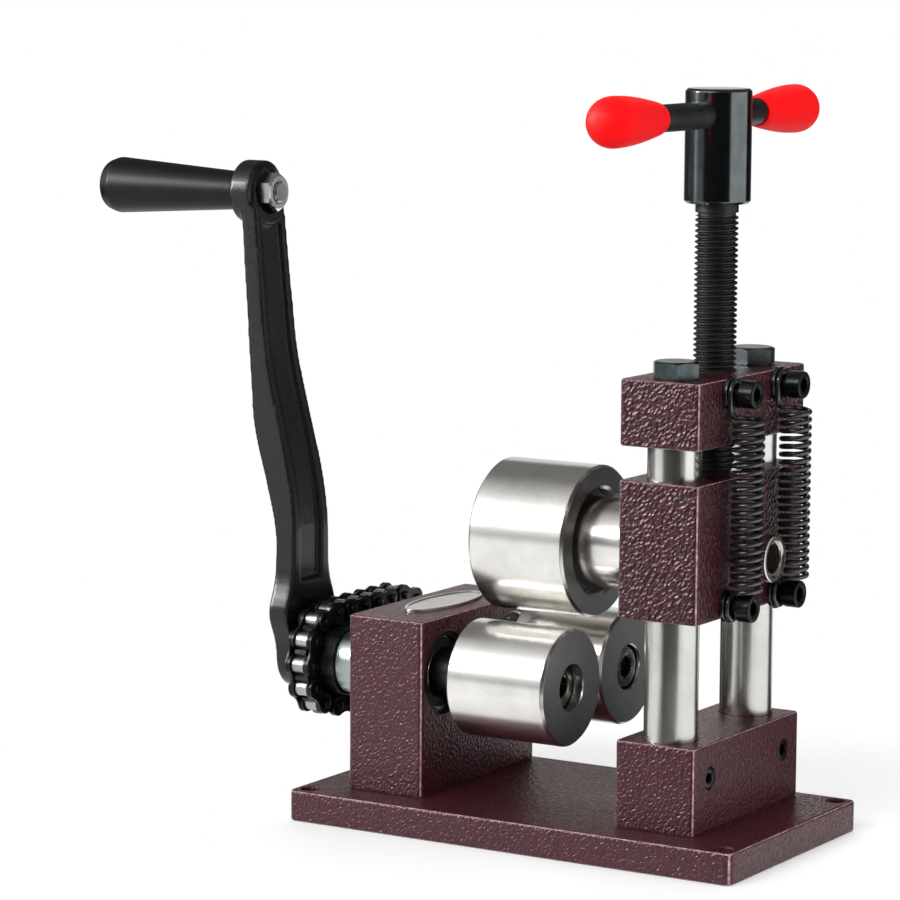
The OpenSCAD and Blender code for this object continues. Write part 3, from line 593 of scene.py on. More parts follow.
# Enamel is coarser where it was sprayed thick, on the two upper blocks
COARSE_ENAMEL = HammertoneEnamel("hammertone_enamel_coarse", "hammertone_paint")
# Its colours are also lighter than the coarse enamel's: painted light on the lower blocks
FINE_ENAMEL = HammertoneEnamel("hammertone_enamel_fine", "hammertone_paint", 0.9, 0.23, "#32121a", "#56212a", 0.26)
# The same enamel along an edge, paler and smoother: a painted highlight line on the roundings
EDGE_HIGHLIGHT_ENAMEL = CoatedSurface("enamel_edge_painted_highlight", "hammertone_paint", "#8a6065", "#d6babb", 0.25, patch_mm=3.0)
# Steel left bare by the cutter at the mouth of a bore
BARE_EDGE = CoatedSurface("bare_machined_edge", "bearing_steel", "#c9cbbf", "#a5a799", 0.3, 1.0)
# Aluminium sheet, pressed and brushed: pale and softly glossy
PRESSED_ALUMINIUM = CoatedSurface("pressed_aluminium", "badge_metal", "#dcdcdc", "#c4c5c5", 0.3, 1.0, grain_mm=0.4)
# Chrome steel, ground: the bright rings of the bearings
BEARING_RING = CoatedSurface("ground_chrome_steel", "bearing_steel", "#b9b9b7", "#8f8f8d", 0.22, 1.0)
# Nitrile rubber, moulded: the matt black seals of the bearings
BEARING_SEAL = CoatedSurface("moulded_nitrile_seal", "bearing_steel", "#151516", "#202021", 0.55)
# Spring steel, blacked in oil
OILED_CLIP = CoatedSurface("oil_blacked_spring_steel", "black_clips", "#1d1d1f", "#343436", 0.38, 0.6)
# Hexagon screws with a black oxide skin, a little oily
BLACK_OXIDE = CoatedSurface("black_oxide_steel", "black_screws", "#4b5355", "#626b6d", 0.3, 1.0)
# Socket screws, blacked and oiled: a thin wet skin over the oxide
SOCKET_BLACK = CoatedSurface("oiled_black_screw_steel", "black_screws", "#121415", "#1c2021", 0.36, 0.8,
                             coat=0.35, coat_roughness=0.15)
# Socket screws of a lighter grey steel all over
LIGHT_GREY_SOCKET = CoatedSurface("light_grey_socket_screw_steel", "black_screws", "#7c7d7a", "#a2a39f", 0.24, 1.0)
# Music wire with a black lacquer: near black, with thin white glints
SPRING_WIRE = CoatedSurface("blacked_spring_wire", "spring_wire", "#0b0b0e", "#17161b", 0.3,
                            coat=1.0, coat_roughness=0.16, ior=1.6)
# A drilled bore, left rough
BORED_STEEL = CoatedSurface("drilled_bore_steel", "hub_steel", "#948a81", "#786f67", 0.45, 1.0)
# Pressed washers, blacked
WASHER_STEEL = CoatedSurface("blacked_washer_steel", "plated_washers", "#5a5e5f", "#7a7e7f", 0.25, 1.0)
# Nickel plate, buffed
NICKEL_PLATE = CoatedSurface("nickel_plated_steel", "plated_washers", "#e6e8ea", "#c6cacc", 0.2, 1.0)
# Stamped chain plates, blacked
CHAIN_PLATE = CoatedSurface("blacked_chain_plate", "chain_plates", "#1a1a1c", "#3a3a3d", 0.3, 0.8)
# Hardened chain rollers, polished by running
CHAIN_ROLLER = CoatedSurface("hardened_roller_steel", "chain_roller_steel", "#b2b2b0", "#949492", 0.32, 1.0,
                             grain_depth_mm=0.002, patch_mm=25.0)
# Cut teeth, blacked
SPROCKET_STEEL = CoatedSurface("blacked_sprocket_steel", "sprocket_steel", "#1c1c1e", "#454548", 0.32, 0.8)
# Stoved enamel on a cast arm: deep black under a clear gloss
CRANK_ENAMEL = CoatedSurface("stoved_black_enamel", "crank_enamel", "#0b0b0c", "#121213", 0.3,
                             coat=0.25, coat_roughness=0.12, ior=1.38, grain_mm=1.2, grain_depth_mm=0.012)
# Phenolic resin, moulded and buffed
HANDLE_RESIN = CoatedSurface("moulded_phenolic", "handle_plastic", "#080808", "#0e0e0e", 0.33, ior=1.32)
# Feed screw's head, blacked and polished
SCREW_BLACK = CoatedSurface("blacked_feed_screw_steel", "screw_steel", "#62686a", "#727879", 0.15, 1.0)
# The cut thread and the drawn bar are duller than the polished head
DULL_BLACK = CoatedSurface("dull_black_steel", "screw_steel", "#2b2b2c", "#3a3a3a", 0.42, 0.7, grain_mm=0.8)
# Soft vinyl, dip moulded: saturated red with a waxy sheen
RED_VINYL = CoatedSurface("dipped_red_vinyl", "red_rubber", "#ff0008", "#fd0007", 0.55, ior=1.25, grain_mm=0.8,
                          grain_depth_mm=0.004)
# Drawn key steel, left bright
KEY_STEEL = CoatedSurface("bright_key_steel", "key_steel", "#a8a8a6", "#8a8a88", 0.3, 1.0)


@dataclass(frozen=True)
class Layout:
    """Places and fits that several sub-assemblies share."""

    mech_y: float = 5.5
    front_y: float = -18.3125
    rear_y: float = 29.3125
    lower_z: float = 57.5
    upper_z: float = 109.7
    post_x: float = 55.5
    post_x0: float = 39.0
    post_x1: float = 72.0
    block_y0: float = -37.0
    block_y1: float = 48.0
    column_ys: Span = (-24.5, 35.5)
    column_r: float = 10.0
    spring_ys: Span = (-13.5, 24.5)
    hook_top_z: float = 172.3
    hook_low_z: float = 93.9
    m6_hole_r: float = 3.05
    crosshead_z0: float = 153.2
    crosshead_z1: float = 177.7
    bar_z: float = 272.0
    chain_x: float = -99.0
    bearing_x0: Span = (-74.6, -56.4)
    bearing_w: float = 9.0
    shaft_bore_r: float = 7.52


AT = Layout()
SIDES = ("front", "rear")


def fitted(piece: Object, body: Body, finish: Finish, *nodes: str) -> Object:
    """Gives a finished piece its material, its body and the solids that it stands for.

    Args:
        piece: The finished piece.
        body: Group that it moves with.
        finish: Its finish, unless it has one.
        nodes: Solids that it replaces.

    Returns:
        The piece.
    """
    if not piece.data.materials:
        piece.data.materials.append(finish.material())
    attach(piece, body.value)
    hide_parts(*nodes)
    LOG.info("%s on %s, %d faces", piece.name, body.value, len(piece.data.polygons))
    return piece


def kept(finish: Finish, *nodes: str) -> None:
    """Gives solids that stay in view their material."""
    for name in nodes:
        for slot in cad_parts[name].material_slots:
            slot.material = finish.material()
        LOG.info("%s keeps its solid", name)


def spotted(piece: Object, base: Finish, spots: Finish, test: Callable[[Face], bool]) -> Object:
    """Gives some faces of a piece a finish of their own.

    Args:
        piece: The piece.
        base: Finish of the whole piece, unless it has one.
        spots: Finish of the faces that pass the test.
        test: Tells whether a face gets it.

    Returns:
        The piece.
    """
    if not piece.data.materials:
        piece.data.materials.append(base.material())
    piece.data.materials.append(spots.material())
    with editing(piece):
        pick(piece, "FACE", test)
        piece.active_material_index = len(piece.data.materials) - 1
        bpy.ops.object.material_slot_assign()
    return piece


@dataclass(frozen=True)
class Lathe:
    """Makes round pieces of one body on one axis."""

    axis: Axis
    centre: Place
    body: Body

    def part(self, name: str, node: str, finish: Finish, profile: Profile, steps: int = 96) -> Object:
        """Turns, smooths and fits a piece that stands for one solid."""
        return fitted(smooth(turned(name, self.axis, self.centre, profile, steps)), self.body, finish, node)

    def roller(self, side: str, profile: Profile, steps: int) -> None:
        """Makes a ground roller whose right end faces are rougher, as they are only faced, and darker in colour as
        painted shade.
        """
        steel = TurnedMetal(f"turned_roller_steel_{side}", "roller_steel", roughness=0.23, centre=self.centre)
        # The end faces' darker steel colour is painted shade on the right side; their roughness is the faced
        # finish
        ends = TurnedMetal(f"faced_shaded_roller_steel_{side}", "roller_steel", "#8d8f8f", "#848686", 0.42, self.centre)
        piece = smooth(turned(f"{side}_roller_turned", self.axis, self.centre, profile, steps))
        fitted(spotted(piece, steel, ends, lambda f: f.normal.x > 0.9), self.body, steel, f"{side}_roller")


@dataclass(frozen=True)
class PaintedBlock:
    """Painted steel block with rounded upright corners and softened edges, with a paler painted highlight along
    the edges.
    """

    name: str
    low: Place
    high: Place
    finish: Finish
    corner: float = 2.0
    edge: float = 0.9

    def build(self) -> Object:
        """Makes the block before its holes are cut."""
        low, high = Vector(self.low), Vector(self.high)
        piece = begin(self.name, lambda: bpy.ops.mesh.primitive_cube_add(
            size=1, location=(low + high) / 2 * MM, scale=(high - low) * MM))
        with editing(piece):
            bevelled(piece, self.corner, 5, lambda e: abs((e.verts[0].co - e.verts[1].co).normalized().z) > 0.9)
            bevelled(piece, self.edge, 5, lambda e: any(abs(f.normal.z) > 0.9 for f in e.link_faces))
            tidy_shell()
        # Only the middle strip of each rounding gets the paler painted highlight
        return spotted(piece, self.finish, EDGE_HIGHLIGHT_ENAMEL, lambda f: 0.6 < max(abs(c) for c in f.normal) < 0.8)


def column_block(name: str, heights: Span, finish: Finish) -> Object:
    """Makes a block of the column stand before its holes are cut."""
    low, high = heights
    return PaintedBlock(name, (AT.post_x0, AT.block_y0, low), (AT.post_x1, AT.block_y1, high), finish).build()


@dataclass(frozen=True)
class SocketScrew:
    """Socket head cap screw along X with its head at the right (way 1) or left (way -1)."""

    centre: Place
    seat: float
    shank_r: float
    shank_l: float
    head_r: float
    head_h: float
    key: float
    way: int = 1

    def build(self, name: str) -> Object:
        """Makes the screw with its hexagonal socket."""
        way, seat, soft = self.way, self.seat, self.head_r * 0.12
        tip, top = seat - way * self.shank_l, seat + way * self.head_h
        piece = turned(name, Axis.X, self.centre, [
            (tip, 0), (tip, self.shank_r), (seat, self.shank_r), (seat, self.head_r, soft),
            (top, self.head_r, soft), (top, self.key * 0.66), (top - way * 0.4, self.key * 0.58),
            (top - way * 0.4, 0)], 72)
        bottom = seat + way * self.head_h * 0.45
        return combined(piece, hexagon("socket", Axis.X, self.centre, self.key, bottom, top + way))


@dataclass(frozen=True)
class BaseAndHousing:
    """Base plate, bearing housing with its badge, bearings and retaining rings."""

    half_l: float = 95.0
    half_w: float = 52.0
    thick: float = 12.0
    bench_hole_r: float = 3.5
    bench_hole: Span = (89.0, 46.0)
    # X of each pair of screws from below, and half the distance between the two
    screw_pairs: tuple[Span, Span] = ((-61.0, 24.0125), (AT.post_x, 12.0))
    low: Place = (-77.5, -37.0125, 12.0)
    high: Place = (-44.5, 48.0125, 79.5)
    badge_at: Place = (-61.0, AT.mech_y, 79.5)
    badge_half: Span = (9.0, 25.0)

    def base(self) -> None:
        """Makes the base plate with its bench holes and the countersinks underneath."""
        piece = PaintedBlock("base_plate_painted", (-self.half_l, -self.half_w, 0),
                             (self.half_l, self.half_w, self.thick), FINE_ENAMEL, 3.0, 1.1).build()
        hole_x, hole_y = self.bench_hole
        for x in (-hole_x, hole_x):
            for y in (-hole_y, hole_y):
                drilled(piece, Axis.Z, (x, y, 0), self.bench_hole_r, -1, self.thick, 0.5)
        end = self.thick + 1
        sink = [(-1, 0), (-1, 8), (4, AT.m6_hole_r), (end, AT.m6_hole_r), (end, 0)]
        for x, spread in self.screw_pairs:
            for y in (AT.mech_y - spread, AT.mech_y + spread):
                machined(piece, Axis.Z, (x, y, 0), sink, 48)
        fitted(smooth(piece), Body.FRAME, FINE_ENAMEL, "base_plate")
        kept(BLACK_OXIDE, "base_screws")

    def housing(self) -> None:
        """Makes the bearing housing with its two stepped bores."""
        piece = PaintedBlock("bearing_housing_painted", self.low, self.high, FINE_ENAMEL).build()
        # Distance out of a face and radius: chamfered mouth, clip groove, bearing seat, shoulder
        half = [(1.0, 0.0), (1.0, 17.7), (0, 16.72), (-0.7, 16.02), (-1.45, 16.02), (-1.45, 16.7), (-2.75, 16.7),
                (-2.75, 16.02), (-11.9, 16.02), (-11.9, 13.0)]
        profile = [(self.low[0] - x, r) for x, r in half] + [(self.high[0] + x, r) for x, r in reversed(half)]
        for y in (AT.front_y, AT.rear_y):
            machined(piece, Axis.X, (0, y, AT.lower_z), profile)
        spotted(piece, FINE_ENAMEL, BARE_EDGE, self.at_mouth)
        fitted(smooth(piece), Body.FRAME, FINE_ENAMEL, "bearing_housing")

    @staticmethod
    def at_mouth(face: Face) -> bool:
        """Whether a face belongs to the chamfer at the mouth of a bearing bore."""
        radius = min(off_axis(face, y, AT.lower_z) for y in (AT.front_y, AT.rear_y))
        return 16.1 < radius < 16.8 and 0.4 < abs(face.normal.x) < 0.95

    def badge(self) -> None:
        """Makes the blank oval badge with its raised rim."""
        piece = begin("badge_plate_pressed", lambda: bpy.ops.mesh.primitive_circle_add(
            vertices=96, radius=MM, fill_type="NGON"))
        top_m = (self.badge_at[2] + 0.99) * MM

        def at_lip(edge: Edge) -> bool:
            """Whether an edge lies between the level rim and a side of it."""
            return all(v.co.z > top_m for v in edge.verts) and len(edge.link_faces) == 2 \
                and abs(edge.link_faces[0].normal.z - edge.link_faces[1].normal.z) > 0.5

        with editing(piece):
            bpy.ops.transform.resize(value=(*self.badge_half, 1))
            bpy.ops.transform.translate(value=Vector(self.badge_at) * MM)
            pushed(z=1.0)
            bpy.ops.mesh.inset(thickness=1.0 * MM, depth=0)
            bpy.ops.mesh.inset(thickness=0.3 * MM, depth=-0.4 * MM)
            tidy_shell()
            bevelled(piece, 0.2, 3, at_lip)
        fitted(smooth(piece, 40), Body.FRAME, PRESSED_ALUMINIUM, "badge_plate")

    def bearings(self) -> None:
        """Makes the outer rings with their seals."""
        for side, y in zip(SIDES, (AT.front_y, AT.rear_y)):
            halves = []
            for a in AT.bearing_x0:
                b = a + AT.bearing_w
                halves.append(turned("ring", Axis.X, (0, y, AT.lower_z), [
                    (a, 13.4), (a, 16.0, 0.5), (b, 16.0, 0.5), (b, 13.4), (b - 0.4, 13.3), (b - 0.4, 9.75),
                    (a + 0.4, 9.75), (a + 0.4, 13.3), (a, 13.4)]))
            piece = joined(f"{side}_bearing_rings", halves)
            spotted(piece, BEARING_RING, BEARING_SEAL, lambda f: off_axis(f, y, AT.lower_z) < 13.36)
            fitted(smooth(piece), Body.FRAME, BEARING_RING, f"{side}_bearing_outer")
        kept(OILED_CLIP, "bearing_clips")

    def build(self) -> None:
        """Builds the group."""
        self.base()
        self.housing()
        self.badge()
        self.bearings()


@dataclass(frozen=True)
class ColumnStand:
    """Foot block, the two columns, the crosshead and their bolts and set screws."""

    foot_z: Span = (12.0, 44.5)
    column_z: Span = (14.0, 169.65)
    setscrew_z: float = 31.7
    bolt_flats: float = 16.0
    bolt_top: float = 184.1
    bolt_turns: Span = (-58.5, -73.0)

    def foot(self) -> None:
        """Makes the foot block and its set screws."""
        piece = column_block("foot_block_painted", self.foot_z, FINE_ENAMEL)
        screws = []
        for y in AT.column_ys:
            centre, end = (0, y, self.setscrew_z), AT.post_x1 - 0.4
            drilled(piece, Axis.Z, (AT.post_x, y, 0), AT.column_r + 0.02, self.column_z[0], self.foot_z[1], 0.4)
            drilled(piece, Axis.X, centre, 4.05, AT.post_x, AT.post_x1, 0.4)
            screw = turned("set", Axis.X, centre, [
                (65.6, 0), (65.6, 4, 0.5), (end, 4, 0.5), (end, 2.6), (end - 0.3, 2.4), (end - 0.3, 0)], 48)
            screws.append(combined(screw, hexagon("key", Axis.X, centre, 4, 68.6, 73)))
        fitted(smooth(piece), Body.FRAME, FINE_ENAMEL, "foot_block")
        fitted(smooth(joined("foot_setscrews_blacked", screws)), Body.FRAME, SOCKET_BLACK, "foot_setscrews")

    def columns(self) -> None:
        """Makes the two ground columns."""
        for side, y in zip(SIDES, AT.column_ys):
            centre = (AT.post_x, y, 0)
            steel = TurnedMetal(f"ground_column_steel_{side}", "column_steel", "#d2d2ce", "#c8c8c3", 0.23, centre,
                                Axis.Z)
            Lathe(Axis.Z, centre, Body.FRAME).part(
                f"column_{side}_ground", f"column_{side}", steel, rod(*self.column_z, AT.column_r, 0.5), 128)

    def crosshead(self) -> None:
        """Makes the crosshead."""
        z0, z1 = AT.crosshead_z0, AT.crosshead_z1
        piece = column_block("crosshead_painted", (z0, z1), COARSE_ENAMEL)
        drilled(piece, Axis.Z, (AT.post_x, AT.mech_y, 0), 8.05, z0 - 1, z1, 0.6)
        for y in AT.column_ys:
            drilled(piece, Axis.Z, (AT.post_x, y, 0), AT.column_r + 0.02, 169.7, z0, 0.4)
        for y in AT.spring_ys:
            drilled(piece, Axis.X, (0, y, AT.hook_top_z), AT.m6_hole_r, 64, AT.post_x1 + 1)
        fitted(smooth(piece), Body.FRAME, COARSE_ENAMEL, "crosshead")

    def bolts(self) -> None:
        """Makes the two hexagon bolts on the crosshead."""
        seat, top, corner = AT.crosshead_z1, self.bolt_top, self.bolt_flats / math.sqrt(3)
        for side, y, turn in zip(SIDES, AT.column_ys, self.bolt_turns):
            centre = (AT.post_x, y, 0)
            bolt = hexagon(f"column_bolt_{side}_blacked", Axis.Z, centre, self.bolt_flats, seat + 0.3, top, turn)
            barrel = [(seat, 0), (seat, corner + 1), (top - 1.1, corner + 0.5), (top, 7.4), (top, 0)]
            machined(bolt, Axis.Z, centre, barrel, how=Cut.COMMON)
            machined(bolt, Axis.Z, centre, rod(seat, seat + 0.6, 7.6), how=Cut.JOINED)
            fitted(smooth(bolt, 25), Body.FRAME, BLACK_OXIDE, f"column_bolt_{side}")

    def build(self) -> None:
        """Builds the group."""
        self.foot()
        self.columns()
        self.crosshead()
        self.bolts()


@dataclass(frozen=True)
class ReturnSprings:
    """The two extension springs with the screws and washers that hold them."""

    axis_x: float = 79.8
    mean_r: float = 5.2
    wire_r: float = 0.96
    turns: int = 22
    top_z: float = 163.5
    low_z: float = 99.5
    loop_r: float = 4.75
    turn_steps: int = 20

    def hook(self, y: float, start_z: float, eye_z: float, way: int) -> None:
        """Bends the selected wire end up or down from the coil into its hook, and closes it."""
        x, bend_z = self.axis_x - self.mean_r, start_z + way * self.loop_r
        spun(math.radians(-90), Vector((x, y, bend_z)) * MM, Axis.X, 6)
        pushed(z=eye_z - bend_z)
        spun(math.radians(-255), Vector((x, y, eye_z)) * MM, Axis.X, 18)
        bpy.ops.mesh.edge_face_add()

    def spring(self, side: str, y: float) -> None:
        """Winds one spring from its coil outwards to both hooks."""
        start = Vector((self.axis_x - self.mean_r, y, self.top_z)) * MM
        piece = begin(f"spring_{side}_wound", lambda: bpy.ops.mesh.primitive_circle_add(
            vertices=10, radius=self.wire_r * MM, location=start, rotation=(math.pi / 2, 0, 0)))
        centre = Vector((self.axis_x, y, 0)) * MM
        drop = (self.low_z - self.top_z) / self.turns / self.turn_steps * MM
        with editing(piece):
            for _ in range(self.turns * self.turn_steps):
                spun(-math.tau / self.turn_steps, centre, Axis.Z, 1)
                bpy.ops.transform.translate(value=(0, 0, drop))
            self.hook(y, self.low_z, AT.hook_low_z, -1)
            pick(piece, "EDGE", lambda e: len(e.link_faces) == 1)
            self.hook(y, self.top_z, AT.hook_top_z, 1)
            tidy_shell()
        shaded(piece, 50)
        piece.data.materials.append(SPRING_WIRE.material())
        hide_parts(f"spring_{side}")
        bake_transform(piece)
        LOG.info("%s between frame and carriage, %d faces", piece.name, len(piece.data.polygons))

    def screws(self, level: str, z: float, body: Body) -> None:
        """Makes the two cap screws and two washers at one height."""
        screws, washers = [], []
        for y in AT.spring_ys:
            screws.append(SocketScrew((0, y, z), seat=77.3, shank_r=3, shank_l=13, head_r=5.1, head_h=6,
                                      key=5).build("screw"))
            washers.append(turned("washer", Axis.X, (0, y, z), ring(72, 73.6, AT.m6_hole_r, 6.2, 0.25), 64))
        for kind, finish, pieces in (("screws", SOCKET_BLACK, screws), ("washers", WASHER_STEEL, washers)):
            piece = joined(f"{level}_spring_{kind}_blacked", pieces)
            fitted(smooth(piece), body, finish, f"{level}_spring_{kind}")

    def build(self) -> None:
        """Builds the group."""
        for side, y in zip(SIDES, AT.spring_ys):
            self.spring(side, y)
        self.screws("upper", AT.hook_top_z, Body.FRAME)
        self.screws("lower", AT.hook_low_z, Body.CARRIAGE)


@dataclass(frozen=True)
class ChainDrive:
    """Roller chain of 22 links round the two sprockets."""

    pitch: float = 9.525
    teeth: int = 12
    run: int = 5
    plate_r: float = 4.1
    waist_r: float = 3.1
    # Distance off the middle and thickness
    inner_plate: Span = (2.9, 1.3)
    outer_plate: Span = (4.3, 1.0)
    # Radius and half length
    pin: Span = (1.64, 6.5)
    roller: Span = (3.175, 2.8)

    @property
    def pitch_r(self) -> float:
        """Radius of the circle that the rollers follow round a sprocket."""
        return self.pitch / 2 / math.sin(math.pi / self.teeth)

    def places(self) -> list[Span]:
        """Places (y, z) of the rollers, starting above the front shaft."""
        spots: list[Span] = []
        for near, far, way in ((AT.front_y, AT.rear_y, 1), (AT.rear_y, AT.front_y, -1)):
            spots += [(near + way * i * self.pitch, AT.lower_z + way * self.pitch_r) for i in range(self.run + 1)]
            for j in range(1, self.teeth // 2):
                a = way * math.pi / 2 - j * math.tau / self.teeth
                spots.append((far + self.pitch_r * math.cos(a), AT.lower_z + self.pitch_r * math.sin(a)))
        return spots

    def plate(self, x0: float, x1: float) -> Object:
        """Makes one waisted plate from a roller at the origin to the next one along Y."""
        half, end_r = self.pitch / 2, self.plate_r
        height = (half ** 2 + self.waist_r ** 2 - end_r ** 2) / (2 * (end_r - self.waist_r)) + self.waist_r
        lean = math.atan2(height, half)
        ends, dip = math.tau - 2 * lean, math.pi - 2 * lean
        with outline("plate", [Vector((x0, end_r * math.cos(lean), end_r * math.sin(lean))) * MM]) as piece:
            for angle, y, z, steps in ((ends, 0, 0, 14), (-dip, half, -height, 4),
                                       (ends, self.pitch, 0, 14), (-dip, half, height, 4)):
                spun(angle, Vector((x0, y, z)) * MM, Axis.X, steps)
            pick_all()
            bpy.ops.mesh.remove_doubles(threshold=10 * MERGE_M)
            bpy.ops.mesh.edge_face_add()
            pushed(x=x1 - x0)
            bevelled(piece, 0.18, 2, at_rim)
            tidy_shell()
        return piece

    def links(self, name: str, first: int, plate: Span) -> Object:
        """Copies a pair of plates to every second link of the chain."""
        x, thick = plate
        spots = self.places()
        places = []
        for i in range(first, len(spots), 2):
            (y0, z0), (y1, z1) = spots[i], spots[(i + 1) % len(spots)]
            turn = Matrix.Rotation(math.atan2(z1 - z0, y1 - y0), 4, "X")
            places.append(Matrix.Translation(Vector((AT.chain_x, y0, z0)) * MM) @ turn)
        return repeated(name, [self.plate(x, x + thick), self.plate(-x - thick, -x)], places)

    def pins(self, name: str, radius: float, reach: float, soft: float, steps: int) -> Object:
        """Copies a pin or roller to every roller place."""
        places = [Matrix.Translation(Vector((AT.chain_x, y, z)) * MM) for y, z in self.places()]
        return repeated(name, [turned("pin", Axis.X, (0, 0, 0), rod(-reach, reach, radius, soft), steps)], places)

    def build(self) -> None:
        """Builds the chain."""
        for piece, finish, node in (
            (self.links("chain_outer_plates", 1, self.outer_plate), CHAIN_PLATE, "chain_outer_links"),
            (self.pins("chain_pins", *self.pin, 0.4, 20), SOCKET_BLACK, "chain_outer_links"),
            (self.links("chain_inner_plates", 0, self.inner_plate), CHAIN_PLATE, "chain_inner_links"),
            (self.pins("chain_rollers_hardened", *self.roller, 0.3, 32), CHAIN_ROLLER, "chain_rollers"),
        ):
            fitted(smooth(piece), Body.FRAME, finish, node)


@dataclass(frozen=True)
class Sprocket:
    """Toothed wheel with a boss."""

    tip_r: float = 20.2
    # Half widths of the gap between two teeth, at the rollers and near the tip
    gap_low: float = 3.2
    gap_high: float = 4.5
    half_tooth: float = 2.6
    boss_r: float = 13.5
    boss_x1: float = -88.0
    grub_x: float = -91.7

    def build(self, name: str, centre: Place, chain: ChainDrive) -> Object:
        """Makes the wheel with its teeth between the rollers."""
        middle = Vector((AT.chain_x - self.half_tooth, *centre[1:]))
        half_step = math.pi / chain.teeth
        flank = math.sqrt(self.tip_r ** 2 - self.gap_high ** 2)
        # Distance from the shaft and to the side of a roller seat
        tip = (self.tip_r * math.cos(half_step), self.tip_r * math.sin(half_step))
        path = [Vector((0, out, side)) for out, side in
                ((chain.pitch_r, self.gap_low), (flank, self.gap_high), tip)]
        rise = [(middle + spot) * MM for spot in path]
        fall = [(middle + Vector((0, spot.y, -spot.z))) * MM for spot in reversed(path)]
        with outline(name, fall) as piece:
            spun(-math.pi, (middle + Vector((0, chain.pitch_r, 0))) * MM, Axis.X, 10)
            traced(rise)
            pick_all()
            spun(math.tau, middle * MM, Axis.X, chain.teeth, copies=True)
            pick_all()
            bpy.ops.mesh.remove_doubles(threshold=20 * MERGE_M)
            bpy.ops.mesh.edge_face_add()
            pushed(x=2 * self.half_tooth)
            bevelled(piece, 0.35, 2, at_rim)
            tidy_shell()
        boss = [(AT.chain_x, 0), (AT.chain_x, self.boss_r), (self.boss_x1, self.boss_r, 0.8), (self.boss_x1, 0)]
        machined(piece, Axis.X, centre, boss, how=Cut.JOINED)
        drilled(piece, Axis.X, centre, AT.shaft_bore_r, -110, -80)
        drilled(piece, Axis.Z, (self.grub_x, centre[1], 0), 2.55, AT.lower_z, AT.lower_z + 16)
        return smooth(mended(piece), 28)


@dataclass(frozen=True)
class RollerShaft:
    """One lower shaft with its roller, screw, spacer, sprocket and bearing inner rings."""

    side: str
    body: Body
    y: float
    shaft_x0: float
    roller_x0: float
    seat_x: float
    roller_r: float = 22.25
    roller_l: float = 42.0
    chamfer: float = 1.0
    shaft_r: float = 7.5
    web: float = 5.0
    # The two steps of the shaft's shoulder against the bearing
    shoulder: Span = (-47.4, -45.4)

    def build(self) -> None:
        """Builds the group."""
        side, bore, seat, web = self.side, AT.shaft_bore_r, self.seat_x, self.seat_x - self.web
        a, b, r, c = self.roller_x0, self.roller_x0 + self.roller_l, self.roller_r, self.chamfer
        centre = (0.0, self.y, AT.lower_z)
        lathe = Lathe(Axis.X, centre, self.body)
        lathe.roller(side, [
            (a, bore), (a, r - c), (a + c, r, 0.3), (b - c, r, 0.3), (b, r - c, 0.2), (b, 9.15), (b - 0.4, 8.75),
            (seat, 8.75), (seat, 5.5), (web, 5.5), (web, bore), (a, bore)], 160)
        screw = SocketScrew(centre, seat, shank_r=5, shank_l=16, head_r=8, head_h=10, key=8)
        fitted(smooth(screw.build(f"{side}_roller_screw_blacked")), self.body, LIGHT_GREY_SOCKET, f"{side}_roller_screw")
        kept(KEY_STEEL, f"{side}_roller_key")
        dark = TurnedMetal(f"dark_shaft_steel_{side}", "shaft_steel", "#4a4a4c", "#38383a", 0.3, centre)
        x0, sr, (step, shoulder) = self.shaft_x0, self.shaft_r, self.shoulder
        lathe.part(f"{side}_shaft_turned", f"{side}_shaft", dark, [
            (x0, 0), (x0, sr, 0.6), (step, sr), (step, 9.3), (shoulder, 9.3), (shoulder, 10, 0.3),
            (a, 10, 0.3), (a, sr), (web, sr), (web, 0)])
        rings = [turned("inner", Axis.X, centre, ring(x, x + AT.bearing_w, bore, 9.4, 0.3)) for x in AT.bearing_x0]
        inner = joined(f"{side}_bearing_inner_rings", rings)
        fitted(smooth(inner), self.body, BEARING_RING, f"{side}_bearing_inner")
        bright = TurnedMetal(f"bright_spacer_steel_{side}", "bright_steel", "#a9b2b2", "#9aa3a3", 0.28, centre)
        lathe.part(f"{side}_spacer_turned", f"{side}_spacer", bright, [
            (-88, bore), (-88, 12.25, 0.5), (-78, 12.25, 0.5), (-78, 9.3), (-74.6, 9.3), (-74.6, bore),
            (-88, bore)])
        wheel = Sprocket().build(f"{side}_sprocket_toothed", centre, ChainDrive())
        fitted(wheel, self.body, SPROCKET_STEEL, f"{side}_sprocket")
        kept(BLACK_OXIDE, f"{side}_sprocket_grub")


